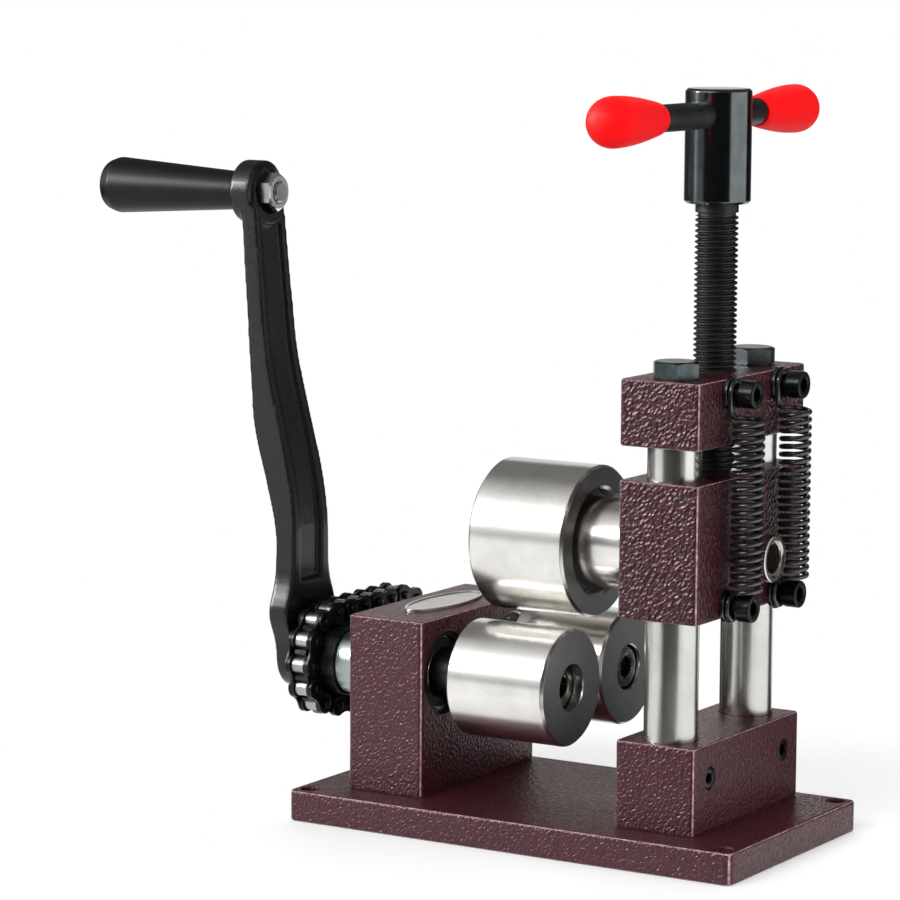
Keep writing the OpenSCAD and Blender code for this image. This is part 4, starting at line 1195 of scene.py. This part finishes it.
@dataclass(frozen=True)
class Crank:
    """Cast arm with the handle's axle, nut and washer, and the handle."""

    low_z: float = 57.5
    high_z: float = 237.5
    hub_r: float = 12.1
    top_r: float = 9.9
    # The widened part above the hub
    flare: float = 17.4
    flare_rise: float = 18.5
    flare_spread: float = 9.5
    arm_w0: float = 12.85
    x1: float = -106.8
    x0: float = -115.4
    # Slope of a face and the rise above the hub where it starts, then where its step starts and the step's length
    outer_lean: Span = (0.08, 46.5)
    outer_step: Span = (46.5, 51.0)
    inner_lean: Span = (0.098, 52.5)
    inner_step: Span = (57.5, 70.0)
    step: float = 7.6
    boss_r: float = 12.1
    face_x: float = -137.4
    seat_x: float = -128.5
    sections: int = 90
    flute_w: float = 13.6
    flute_h: float = 1.8
    flute_z: Span = (88.0, 231.0)
    flute_sections: int = 40
    voxel_mm: float = 0.55
    nut_flats: float = 13.0
    nut_x: Span = (-128.5, -122.0)

    def face_at(self, z: float, x: float, lean: Span, step: Span) -> float:
        """X at a height of a face that leans and steps to the left, and stands at x beside the hub."""
        rise = z - self.low_z
        t = min(1.0, max(0.0, (rise - step[0]) / step[1]))
        return x - lean[0] * max(0, rise - lean[1]) - self.step * (t * t * (3 - 2 * t))

    def outside(self, z: float) -> float:
        """X of the arm's left face at a height."""
        return self.face_at(z, self.x0, self.outer_lean, self.outer_step)

    def inside(self, z: float) -> float:
        """X of the arm's right face at a height."""
        return self.face_at(z, self.x1, self.inner_lean, self.inner_step)

    def half(self, z: float) -> float:
        """Half width of the arm at a height."""
        if z < self.low_z:
            return math.sqrt(max(0.01, self.hub_r ** 2 - (self.low_z - z) ** 2))
        if z > self.high_z:
            return math.sqrt(max(0.01, self.top_r ** 2 - (z - self.high_z) ** 2))
        flare_z = self.low_z + self.flare_rise
        bump = math.exp(-((z - flare_z) / self.flare_spread) ** 2)
        if z < flare_z:
            return self.hub_r + (self.flare - self.hub_r) * bump
        taper = self.arm_w0 + (self.top_r - self.arm_w0) * (z - flare_z) / (self.high_z - flare_z)
        return taper + (self.flare - self.arm_w0) * bump

    def section(self, z: float) -> Place:
        """Middle, thickness and width of the arm at a height."""
        return (self.outside(z) + self.inside(z)) / 2, self.inside(z) - self.outside(z), 2 * self.half(z)

    def blank(self) -> Object:
        """Draws the arm upwards section by section from the lower end."""
        z0, z1 = self.low_z - self.hub_r + 0.05, self.high_z + self.top_r - 0.05
        heights = [z0 + (z1 - z0) * (0.5 - 0.5 * math.cos(math.pi * i / self.sections))
                   for i in range(self.sections + 1)]
        middle, thick, wide = self.section(z0)
        piece = flat("crank_arm_cast", (middle, AT.front_y, z0), thick, wide)
        with editing(piece):
            for below, above in zip(heights, heights[1:]):
                m0, t0, w0 = self.section(below)
                m1, t1, w1 = self.section(above)
                pushed(x=m1 - m0, z=above - below)
                bpy.ops.transform.resize(value=(t1 / t0, w1 / w0, 1))
            tidy_shell()
        return piece

    def flute(self) -> Object:
        """Cutter for the long flute in the arm's right face."""
        (z0, z1), count = self.flute_z, self.flute_sections
        heights = [z0 + (z1 - z0) * i / count for i in range(count + 1)]
        piece = flat("flute", (self.inside(z0) - self.flute_h + 3, AT.front_y, z0), 6, self.flute_w)
        with editing(piece):
            for below, above in zip(heights, heights[1:]):
                shift = Vector((self.inside(above) - self.inside(below), 0, above - below))
                bpy.ops.mesh.extrude_region_move(TRANSFORM_OT_translate={"value": shift * MM})
            tidy_shell()
        return piece

    def arm(self) -> None:
        """Makes the arm: cast skin from joined forms, then the machined holes."""
        top, hub = (0, AT.front_y, self.high_z), (0, AT.front_y, self.low_z)
        piece = self.blank()
        # The flute ends in an arc under the boss
        combined(piece, machined(self.flute(), Axis.X, top, rod(self.face_x, self.x1, self.boss_r + 0.6), 64))
        machined(piece, Axis.X, top, rod(self.face_x, self.seat_x, self.boss_r), how=Cut.JOINED)
        modified(piece, "REMESH", mode="VOXEL", voxel_size=self.voxel_mm * MM)
        modified(piece, "SMOOTH", factor=0.5, iterations=7)
        drilled(piece, Axis.X, top, 8.6, self.seat_x, self.seat_x + 14)
        drilled(piece, Axis.X, top, 4.05, self.face_x - 2, self.seat_x + 2)
        a, b = self.x0, self.x1 + 1
        machined(piece, Axis.X, hub, [(a - 1, 0), (a - 1, 9.6), (a, 8.4), (a + 4, 4.4), (b, 4.4), (b, 0)])
        fitted(shaded(mended(piece), 40), Body.CRANK, CRANK_ENAMEL, "crank_arm")
        screw = turned("crank_screw_blacked", Axis.X, hub, [
            (a + 0.1, 0), (a + 0.1, 8.1, 0.1), (a + 4, 4), (a + 22, 4), (a + 22, 0)], 64)
        combined(screw, hexagon("key", Axis.X, hub, 5, a - 1, a + 3))
        fitted(smooth(screw), Body.CRANK, SOCKET_BLACK, "crank_screw")

    def fasteners(self) -> None:
        """Makes the handle's axle, nut and washer."""
        top = (0, AT.front_y, self.high_z)
        lathe = Lathe(Axis.X, top, Body.CRANK)
        steel = TurnedMetal("turned_axle_steel", "bright_steel", "#b5b8bb", roughness=0.22, centre=top)
        lathe.part("handle_axle_turned", "handle_axle", steel, [
            (-152, 0), (-152, 4.5), (-139.4, 4.5), (-139.4, 4), (-121.6, 4), (-121, 3.4), (-121, 0)], 64)
        nut = hexagon("handle_nut_plated", Axis.X, top, self.nut_flats, *self.nut_x)
        corner = self.nut_flats / math.sqrt(3)
        machined(nut, Axis.X, top, [
            (-129, 0), (-129, 6.9), (-127.6, corner + 0.3), (-122.9, corner + 0.3), (-121.9, 6.1), (-121.9, 0),
        ], how=Cut.COMMON)
        machined(nut, Axis.X, top, [
            (-130, 0), (-130, 4.05), (-122.6, 4.05), (-121.9, 4.7), (-121, 4.7), (-121, 0)])
        fitted(smooth(mended(nut), 25), Body.CRANK, NICKEL_PLATE, "handle_nut")
        lathe.part("handle_washer_plated", "handle_washer", NICKEL_PLATE, ring(-139.4, -137.4, 4.05, 7.2, 0.3))

    def handle(self) -> None:
        """Makes the tapered handle."""
        Lathe(Axis.X, (0, AT.front_y, self.high_z), Body.HANDLE).part("handle_moulded", "handle", HANDLE_RESIN, [
            (-139.7, 4.55), (-139.7, 7.3, 0.8), (-197.0, 11.0, 4.0), (-202, 9.3, 2.4), (-202, 0), (-152, 0),
            (-152, 4.55), (-139.7, 4.55)], 128)

    def build(self) -> None:
        """Builds the group."""
        self.arm()
        self.fasteners()
        self.handle()


@dataclass(frozen=True)
class CarriageGroup:
    """Sliding carriage with its bush, and the upper roller on its axle."""

    centre: Place = (0, AT.mech_y, AT.upper_z)
    z0: float = 89.7
    z1: float = 140.7
    roller_x0: float = -33.0
    roller_x1: float = 8.0
    roller_r: float = 29.0
    hub_r: float = 17.0
    axle_r: float = 7.0
    # Floor and mouth radius of the bore in the axle's end
    bore_x: float = 72.0
    bore_r: float = 5.6

    def carriage(self) -> None:
        """Makes the painted carriage and its bush."""
        piece = column_block("carriage_painted", (self.z0, self.z1), COARSE_ENAMEL)
        middle = (self.z0 + self.z1) / 2
        for y in AT.column_ys:
            for end in (self.z0, self.z1):
                drilled(piece, Axis.Z, (AT.post_x, y, 0), AT.column_r + 0.05, middle, end, 0.4)
        for end in (AT.post_x0, AT.post_x1):
            drilled(piece, Axis.X, self.centre, 10.02, AT.post_x, end, 0.3)
        drilled(piece, Axis.Z, (AT.post_x, AT.mech_y, 0), 6.05, 128, self.z1, 0.4)
        for y in AT.spring_ys:
            drilled(piece, Axis.X, (0, y, AT.hook_low_z), AT.m6_hole_r, 64, AT.post_x1 + 1)
        fitted(smooth(piece), Body.CARRIAGE, COARSE_ENAMEL, "carriage")
        # Sintered bronze, pressed: warm, dull and dark
        bronze = TurnedMetal("sintered_bronze", "bush_bronze", "#6b6150", "#4d4638", 0.35, self.centre)
        Lathe(Axis.X, self.centre, Body.CARRIAGE).part(
            "axle_bush_bronze", "axle_bush", bronze, ring(AT.post_x0, AT.post_x1, 7.05, 10, 0.3))

    def in_bore(self, face: Face) -> bool:
        """Whether a face belongs to the bore in the axle's end."""
        return face.calc_center_median().x > (self.bore_x - 0.1) * MM and \
            off_axis(face, AT.mech_y, AT.upper_z) < self.bore_r + 0.05

    def roller(self) -> None:
        """Makes the upper roller, its hub and axle, its screw and the end collar."""
        lathe = Lathe(Axis.X, self.centre, Body.UPPER)
        a, b, r, hub_r, axle_r = self.roller_x0, self.roller_x1, self.roller_r, self.hub_r, self.axle_r
        lathe.roller("upper", [
            (a, 8.75), (a, r - 1), (a + 1, r, 0.3), (b - 1, r, 0.3), (b, r - 1, 0.2), (b, 21.2), (b - 1.2, 20),
            (2, 20, 0.5), (2, 10.02), (-16, 10.02), (-16, 5.5), (-21, 5.5), (-21, 8.75), (a, 8.75)], 192)
        shaft = turned("upper_shaft_turned", Axis.X, self.centre, [
            (-16, 0), (-16, 10), (2, 10), (2, hub_r), (38.7, hub_r, 0.4), (38.7, axle_r),
            (81, axle_r, 0.4), (81, self.bore_r), (self.bore_x, 5.2), (self.bore_x, 0)], 128)
        hub = TurnedMetal("turned_hub_steel", "hub_steel", roughness=0.2, centre=self.centre)
        fitted(smooth(spotted(shaft, hub, BORED_STEEL, self.in_bore)), Body.UPPER, hub, "upper_shaft")
        screw = SocketScrew(self.centre, seat=-21, shank_r=5, shank_l=21, head_r=8, head_h=10, key=8, way=-1)
        fitted(smooth(screw.build("upper_roller_screw_blacked")), Body.UPPER, SOCKET_BLACK, "upper_roller_screw")
        bright = TurnedMetal("bright_collar_steel", "bright_steel", "#e6e1da", roughness=0.18, centre=self.centre)
        lathe.part("axle_collar_turned", "axle_collar", bright, [
            (72.3, 7.02), (72.3, 8.8, 0.4), (82.0, 8.8, 0.5), (82.0, 7.02), (72.3, 7.02)])
        kept(BLACK_OXIDE, "collar_grub")

    def build(self) -> None:
        """Builds the group."""
        self.carriage()
        self.roller()


@dataclass(frozen=True)
class FeedScrew:
    """Feed screw with its round head, and the cross bar with two grips."""

    thread_r: float = 8.0
    root_r: float = 6.85
    lead: float = 2.0
    thread_z: Span = (141.1, 234.97)
    journal_z0: float = 128.3
    neck_z: float = 236.2
    head_z0: float = 239.5
    head_z1: float = 281.5
    head_r: float = 12.3
    bar_r: float = 5.0
    bar_y: Span = (-79.0, 73.0)
    thread_steps: int = 48
    # Grip: radius at its mouth and at its widest, length, length of its dome, depth and radius of its hole
    grip_r: Span = (5.9, 9.2)
    grip_l: float = 41.8
    grip_dome: float = 10.0
    grip_hole: Span = (37.05, 5.02)

    def thread(self) -> Object:
        """Makes the threaded length by running one groove round and up."""
        z0, z1 = self.thread_z
        first = z0 - self.lead * 1.5
        groove = [(0.0, self.thread_r), (0.25, self.thread_r), (0.9, self.root_r), (1.15, self.root_r),
                  (1.8, self.thread_r), (self.lead, self.thread_r)]
        with outline("thread", [Vector((self.thread_r * MM, 0, 0))]) as piece:
            for (a0, r0), (a1, r1) in zip(groove, groove[1:]):
                move = ((r1 - r0) * MM, 0, (a1 - a0) * MM)
                bpy.ops.mesh.extrude_vertices_move(TRANSFORM_OT_translate={"value": move})
        modified(piece, "SCREW", angle=math.tau, screw_offset=self.lead * MM,
                 iterations=math.ceil((z1 - first) / self.lead) + 1, steps=self.thread_steps,
                 render_steps=self.thread_steps, use_merge_vertices=True, merge_threshold=MERGE_M)
        with editing(piece):
            bpy.ops.mesh.remove_doubles(threshold=10 * MERGE_M)
            bpy.ops.transform.translate(value=Vector((AT.post_x, AT.mech_y, first)) * MM)
            for z, way in ((z0, -1), (z1, 1)):
                pick_all()
                bpy.ops.mesh.bisect(plane_co=(0, 0, z * MM), plane_no=(0, 0, way), clear_outer=True, use_fill=True)
            tidy_shell()
        return piece

    def screw(self) -> None:
        """Makes the feed screw: thread, journal, neck and the cross drilled head."""
        centre = (AT.post_x, AT.mech_y, 0)
        low, high, r = self.head_z0, self.head_z1, self.head_r
        start, end, neck_z = self.journal_z0, self.thread_z[0] + 0.5, self.neck_z
        journal = turned("journal", Axis.Z, centre, [(start, 0), (start, 6, 0.5), (end, 6), (end, 0)])
        start, end = self.thread_z[1] - 0.5, low + 0.2
        neck = turned("neck", Axis.Z, centre, [
            (start, 0), (start, 7), (neck_z, 7), (neck_z, 8, 0.3), (end, 8), (end, 0)])
        head = turned("head", Axis.Z, centre, [
            (low, 0), (low, r - 1), (low + 1, r, 0.4), (high - 1, r, 0.4), (high, r - 1, 0.3), (high, 0)], 128)
        drilled(head, Axis.Y, (AT.post_x, 0, AT.bar_z), self.bar_r + 0.05, AT.mech_y - 15, AT.mech_y + 15)
        parts = [smooth(mended(self.thread()), 25), smooth(journal), smooth(neck), smooth(mended(head))]
        for part, finish in zip(parts, (DULL_BLACK, DULL_BLACK, DULL_BLACK, SCREW_BLACK)):
            part.data.materials.append(finish.material())
        fitted(joined("feed_screw_blacked", parts), Body.SCREW, SCREW_BLACK, "feed_screw")

    def bar(self) -> None:
        """Makes the cross bar and its two grips."""
        lathe = Lathe(Axis.Y, (AT.post_x, 0, AT.bar_z), Body.BAR)
        lathe.part("cross_bar_blacked", "cross_bar", DULL_BLACK, rod(*self.bar_y, self.bar_r, 0.5), 64)
        (r0, r1), length, dome, (deep, hole_r) = self.grip_r, self.grip_l, self.grip_dome, self.grip_hole
        swell = [(r0 + (r1 - r0) * math.sin(math.radians(a)), (length - dome) * a / 90) for a in range(5, 90, 5)]
        arc = [(r1 * (0.1 + 0.9 * math.cos(math.radians(a))), length - dome * (1 - math.sin(math.radians(a))))
               for a in range(0, 91, 9)]
        for side, start, way in (("near", -42.0, -1), ("far", 36.0, 1)):
            floor = start + way * deep
            lathe.part(f"grip_{side}_dipped", f"grip_{side}", RED_VINYL, [
                (start, hole_r), (start, r0 - 0.3), *((start + way * along, r) for r, along in swell + arc),
                (start + way * length, 0), (floor, 0), (floor, hole_r), (start, hole_r)])

    def build(self) -> None:
        """Builds the group."""
        self.screw()
        self.bar()


@dataclass(frozen=True)
class Studio:
    """Pale floor, soft lamps, dark cards that the metal shows, white surroundings and the camera."""

    focal_px: float = 3796.0
    image_px: float = 900.0
    sensor_mm: float = 36.0
    azimuth: float = 31.51
    elevation: float = 7.70
    roll: float = 0.39
    place_m: Place = (0.6998, -1.2317, 0.3356)
    floor_x0: float = -96.5
    floor_reach: float = 9000.0
    sky: float = 0.52
    dome_m: float = 3.0
    # Azimuth and elevation of its brightest spot, and the elevation that it reaches down to
    dome_bright: Span = (-40.0, 34.0)
    dome_low: float = 20.0
    card_steps: int = 24
    # Height that the lamps face
    aim_z_m: float = 0.12

    @staticmethod
    def direction(azimuth: float, elevation: float) -> Vector:
        """Unit vector towards an azimuth and elevation."""
        a, e = math.radians(azimuth), math.radians(elevation)
        return Vector((math.sin(a) * math.cos(e), -math.cos(a) * math.cos(e), math.sin(e)))

    def camera(self) -> None:
        """Stands the camera where the picture was taken from."""
        back = self.direction(self.azimuth, self.elevation)
        right = Vector((math.cos(math.radians(self.azimuth)), math.sin(math.radians(self.azimuth)), 0))
        roll = Matrix.Rotation(math.radians(self.roll), 3, "Z")
        turn = Matrix((right, back.cross(right), back)).transposed() @ roll
        bpy.ops.object.camera_add()
        camera = bpy.context.object
        camera.data.sensor_width = self.sensor_mm
        camera.data.lens = self.focal_px / self.image_px * self.sensor_mm
        camera.data.clip_start = 0.05
        camera.matrix_world = Matrix.Translation(self.place_m) @ turn.to_4x4()
        bpy.context.scene.camera = camera

    @staticmethod
    def seen(tree: Tree) -> Socket:
        """One for rays from the camera or off metal or glass, and nought for light on the object."""
        path = add(tree, "LightPath").outputs
        both = add(tree, "Math", {"operation": "ADD"}, {0: path["Is Camera Ray"], 1: path["Is Glossy Ray"]})
        return add(tree, "Math", {"operation": "ADD", "use_clamp": True},
                   {0: both.outputs[0], 1: path["Is Transmission Ray"]}).outputs[0]

    def bench(self, tree: Tree) -> Node:
        """Adds a matt shader that shows the object's shadow, with a glow that is strong far from the object and
        weaker near it, which paints the floor darker round the object.
        """
        matt = add(tree, "BsdfDiffuse", {"Color": linear("#dcdcdc")})
        away = add(tree, "VectorMath", {"operation": "LENGTH"}, {0: add(tree, "TexCoord").outputs["Object"]})
        # The glow fades towards the object: painted shade on the floor round it, deepening its real shadow
        level = ranged(tree, away.outputs["Value"], (0.3, 1.6), (0.31, 0.85))
        strength = add(tree, "Math", {"operation": "MULTIPLY"}, {0: self.seen(tree), 1: level})
        glow = add(tree, "Emission", {"Color": (1, 1, 1, 1)}, {"Strength": strength.outputs[0]})
        return add(tree, "AddShader", None, {0: matt.outputs[0], 1: glow.outputs[0]})

    def floor(self) -> None:
        """Lays the pale bench top, which ends beside the base so that the crank hangs past it."""
        low, reach = self.floor_x0, self.floor_reach
        piece = flat("bench_top", ((low + reach) / 2, 0, -0.02), reach - low, 2 * reach)
        piece.data.materials.append(made("pale_bench_top", self.bench))

    def world(self) -> None:
        """Surrounds the object with white that metal shows, and with plain light."""
        world = bpy.data.worlds.new("surroundings")
        bpy.context.scene.world = world
        tree = emptied(world)
        plain, white = (add(tree, "Background", {"Color": (1, 1, 1, 1), "Strength": s}) for s in (self.sky, 1.0))
        mixed = add(tree, "MixShader", None, {0: self.seen(tree), 1: plain.outputs[0], 2: white.outputs[0]})
        add(tree, "OutputWorld", None, {"Surface": mixed.outputs[0]})

    @staticmethod
    def hung(piece: Object, material: bpy.types.Material) -> None:
        """Gives a card its material and hides it from the camera, so that only metal and gloss show it."""
        piece.data.materials.append(material)
        piece.visible_camera = piece.visible_diffuse = piece.visible_shadow = False

    def swept(self, name: str, azimuths: Span, near: Span, far: Span, colour: str, middle_x: float = 0.02) -> None:
        """Bends an even card round the object by sweeping a straight line; the card glows at its tone and only
        metal and gloss show it, as a painted reflection.

        Args:
            name: Name of the card.
            azimuths: First and last azimuth in degrees.
            near: Reach and height of the line's start, in metres.
            far: Reach and height of the line's end, in metres.
            colour: Tone that it glows at.
            middle_x: X of the upright axis that it bends round, in metres.
        """
        first, last = azimuths
        line = [self.direction(first, 0) * reach + Vector((middle_x, 0, z)) for reach, z in (near, far)]
        with outline(name, line) as piece:
            pick_all()
            spun(math.radians(last - first), (middle_x, 0, 0), Axis.Z, self.card_steps)
        card_glow = made(f"{name}_felt", lambda tree: add(tree, "Emission", {"Color": linear(colour), "Strength": 1.0}))
        self.hung(piece, card_glow)

    def cloth(self, tree: Tree) -> Node:
        """Adds an even glow that fades with the angle from the dome's brightest spot."""
        way = add(tree, "VectorMath", {"operation": "NORMALIZE"}, {0: add(tree, "TexCoord").outputs["Object"]})
        facing = add(tree, "VectorMath", {"operation": "DOT_PRODUCT", 1: self.direction(*self.dome_bright)},
                     {0: way.outputs[0]})
        apart = add(tree, "Math", {"operation": "ARCCOSINE"}, {0: facing.outputs["Value"]})
        level = ranged(tree, apart.outputs[0], (0, math.radians(52)), (1.0, 0.16))
        return add(tree, "Emission", {"Color": (1, 1, 1, 1)}, {"Strength": level})

    def roof(self) -> None:
        """Closes the studio above with a dome, bright at the front left."""
        piece = begin("studio_dome", lambda: bpy.ops.mesh.primitive_uv_sphere_add(
            segments=64, ring_count=32, radius=self.dome_m))
        rim = (0, 0, self.dome_m * math.sin(math.radians(self.dome_low)))
        with editing(piece):
            bpy.ops.mesh.bisect(plane_co=rim, plane_no=(0, 0, -1), clear_outer=True)
        self.hung(piece, made("graded_dome_cloth", self.cloth))

    def lamp(self, name: str, azimuth: float, elevation: float, reach_m: float, size_m: Span, radiance: float,
             shown: bool = False, lights: bool = True) -> None:
        """Hangs a rectangular soft lamp that faces the object.

        Args:
            name: Name of the lamp.
            azimuth: Azimuth in degrees.
            elevation: Height above the horizon in degrees.
            reach_m: Distance in metres.
            size_m: Width and height in metres.
            radiance: How bright the lamp itself looks, where 1 is white.
            shown: Whether metal and gloss show the lamp.
            lights: Whether the lamp lights matt surfaces.
        """
        bpy.ops.object.light_add(type="AREA")
        lamp = bpy.context.object
        lamp.name = name
        away = self.direction(azimuth, elevation)
        lamp.location = away * reach_m + Vector((0, 0, self.aim_z_m))
        lamp.rotation_mode = "QUATERNION"
        lamp.rotation_quaternion = away.to_track_quat("Z", "Y")
        lamp.data.shape = "RECTANGLE"
        lamp.data.size, lamp.data.size_y = size_m
        lamp.data.energy = radiance * math.pi * size_m[0] * size_m[1]
        lamp.visible_glossy, lamp.visible_diffuse = shown, lights

    def build(self) -> None:
        """Builds the studio."""
        bpy.context.scene.view_settings.view_transform = "Standard"
        self.camera()
        self.floor()
        self.world()
        self.swept("card_front", (-20, 72), (0.8, -0.05), (0.8, 0.62), "#282828")
        self.swept("card_front_near", (-13, 52), (0.3, -0.05), (0.3, 0.14), "#3c3e3c", 0.055)
        self.swept("card_left_far", (-48, -18), (1.5, 0.10), (1.5, 0.68), "#7b7b7b")
        self.swept("card_back", (152, 302), (0.8, -0.05), (0.8, 0.62), "#4a4a4a")
        self.swept("card_back_left", (197, 228), (0.6, -0.05), (0.6, 0.4), "#e6e4e0")
        self.swept("card_back_right", (136, 160), (0.3, -0.05), (0.3, 0.45), "#222222")
        self.swept("card_left_near", (-152, -100), (0.3, -0.05), (0.3, 0.045), "#222222", 0.055)
        # Level sheets just above the floor near the object, which metal shows darker than the bright floor:
        # painted shade in reflections
        self.swept("shade_sheet_front", (-13, 52), (0.12, 0.0005), (0.3, 0.0005), "#5a5a58", 0.0)
        self.swept("shade_sheet_back_right", (132, 164), (0.08, 0.0005), (0.34, 0.0005), "#262626", 0.0)
        self.roof()
        self.lamp("glint_lamp", -61, 22, 1.4, (0.85, 0.5), 28.0, True, False)
        self.lamp("key_lamp", -5, 38, 1.5, (0.4, 0.4), 6.0, True)
        self.lamp("front_window", -6, 32, 1.8, (1.4, 0.7), 5.5, True)
        self.lamp("right_window", 95, 20, 1.7, (1.4, 0.7), 3.0)
        self.lamp("back_window", 205, 35, 1.8, (1.4, 0.7), 3.5)


def main() -> None:
    """Builds the machine group by group, then the studio."""
    logging.basicConfig(level=logging.INFO, format="%(message)s")
    groups = (
        BaseAndHousing(),
        ColumnStand(),
        ReturnSprings(),
        ChainDrive(),
        RollerShaft("front", Body.CRANK, AT.front_y, -106.8, -32.0, -4.0),
        RollerShaft("rear", Body.REAR, AT.rear_y, -104.0, -34.0, -3.0),
        Crank(),
        CarriageGroup(),
        FeedScrew(),
    )
    for group in groups:
        LOG.info("building %s", type(group).__name__)
        group.build()
    Studio().build()


if __name__ == "__main__":
    main()
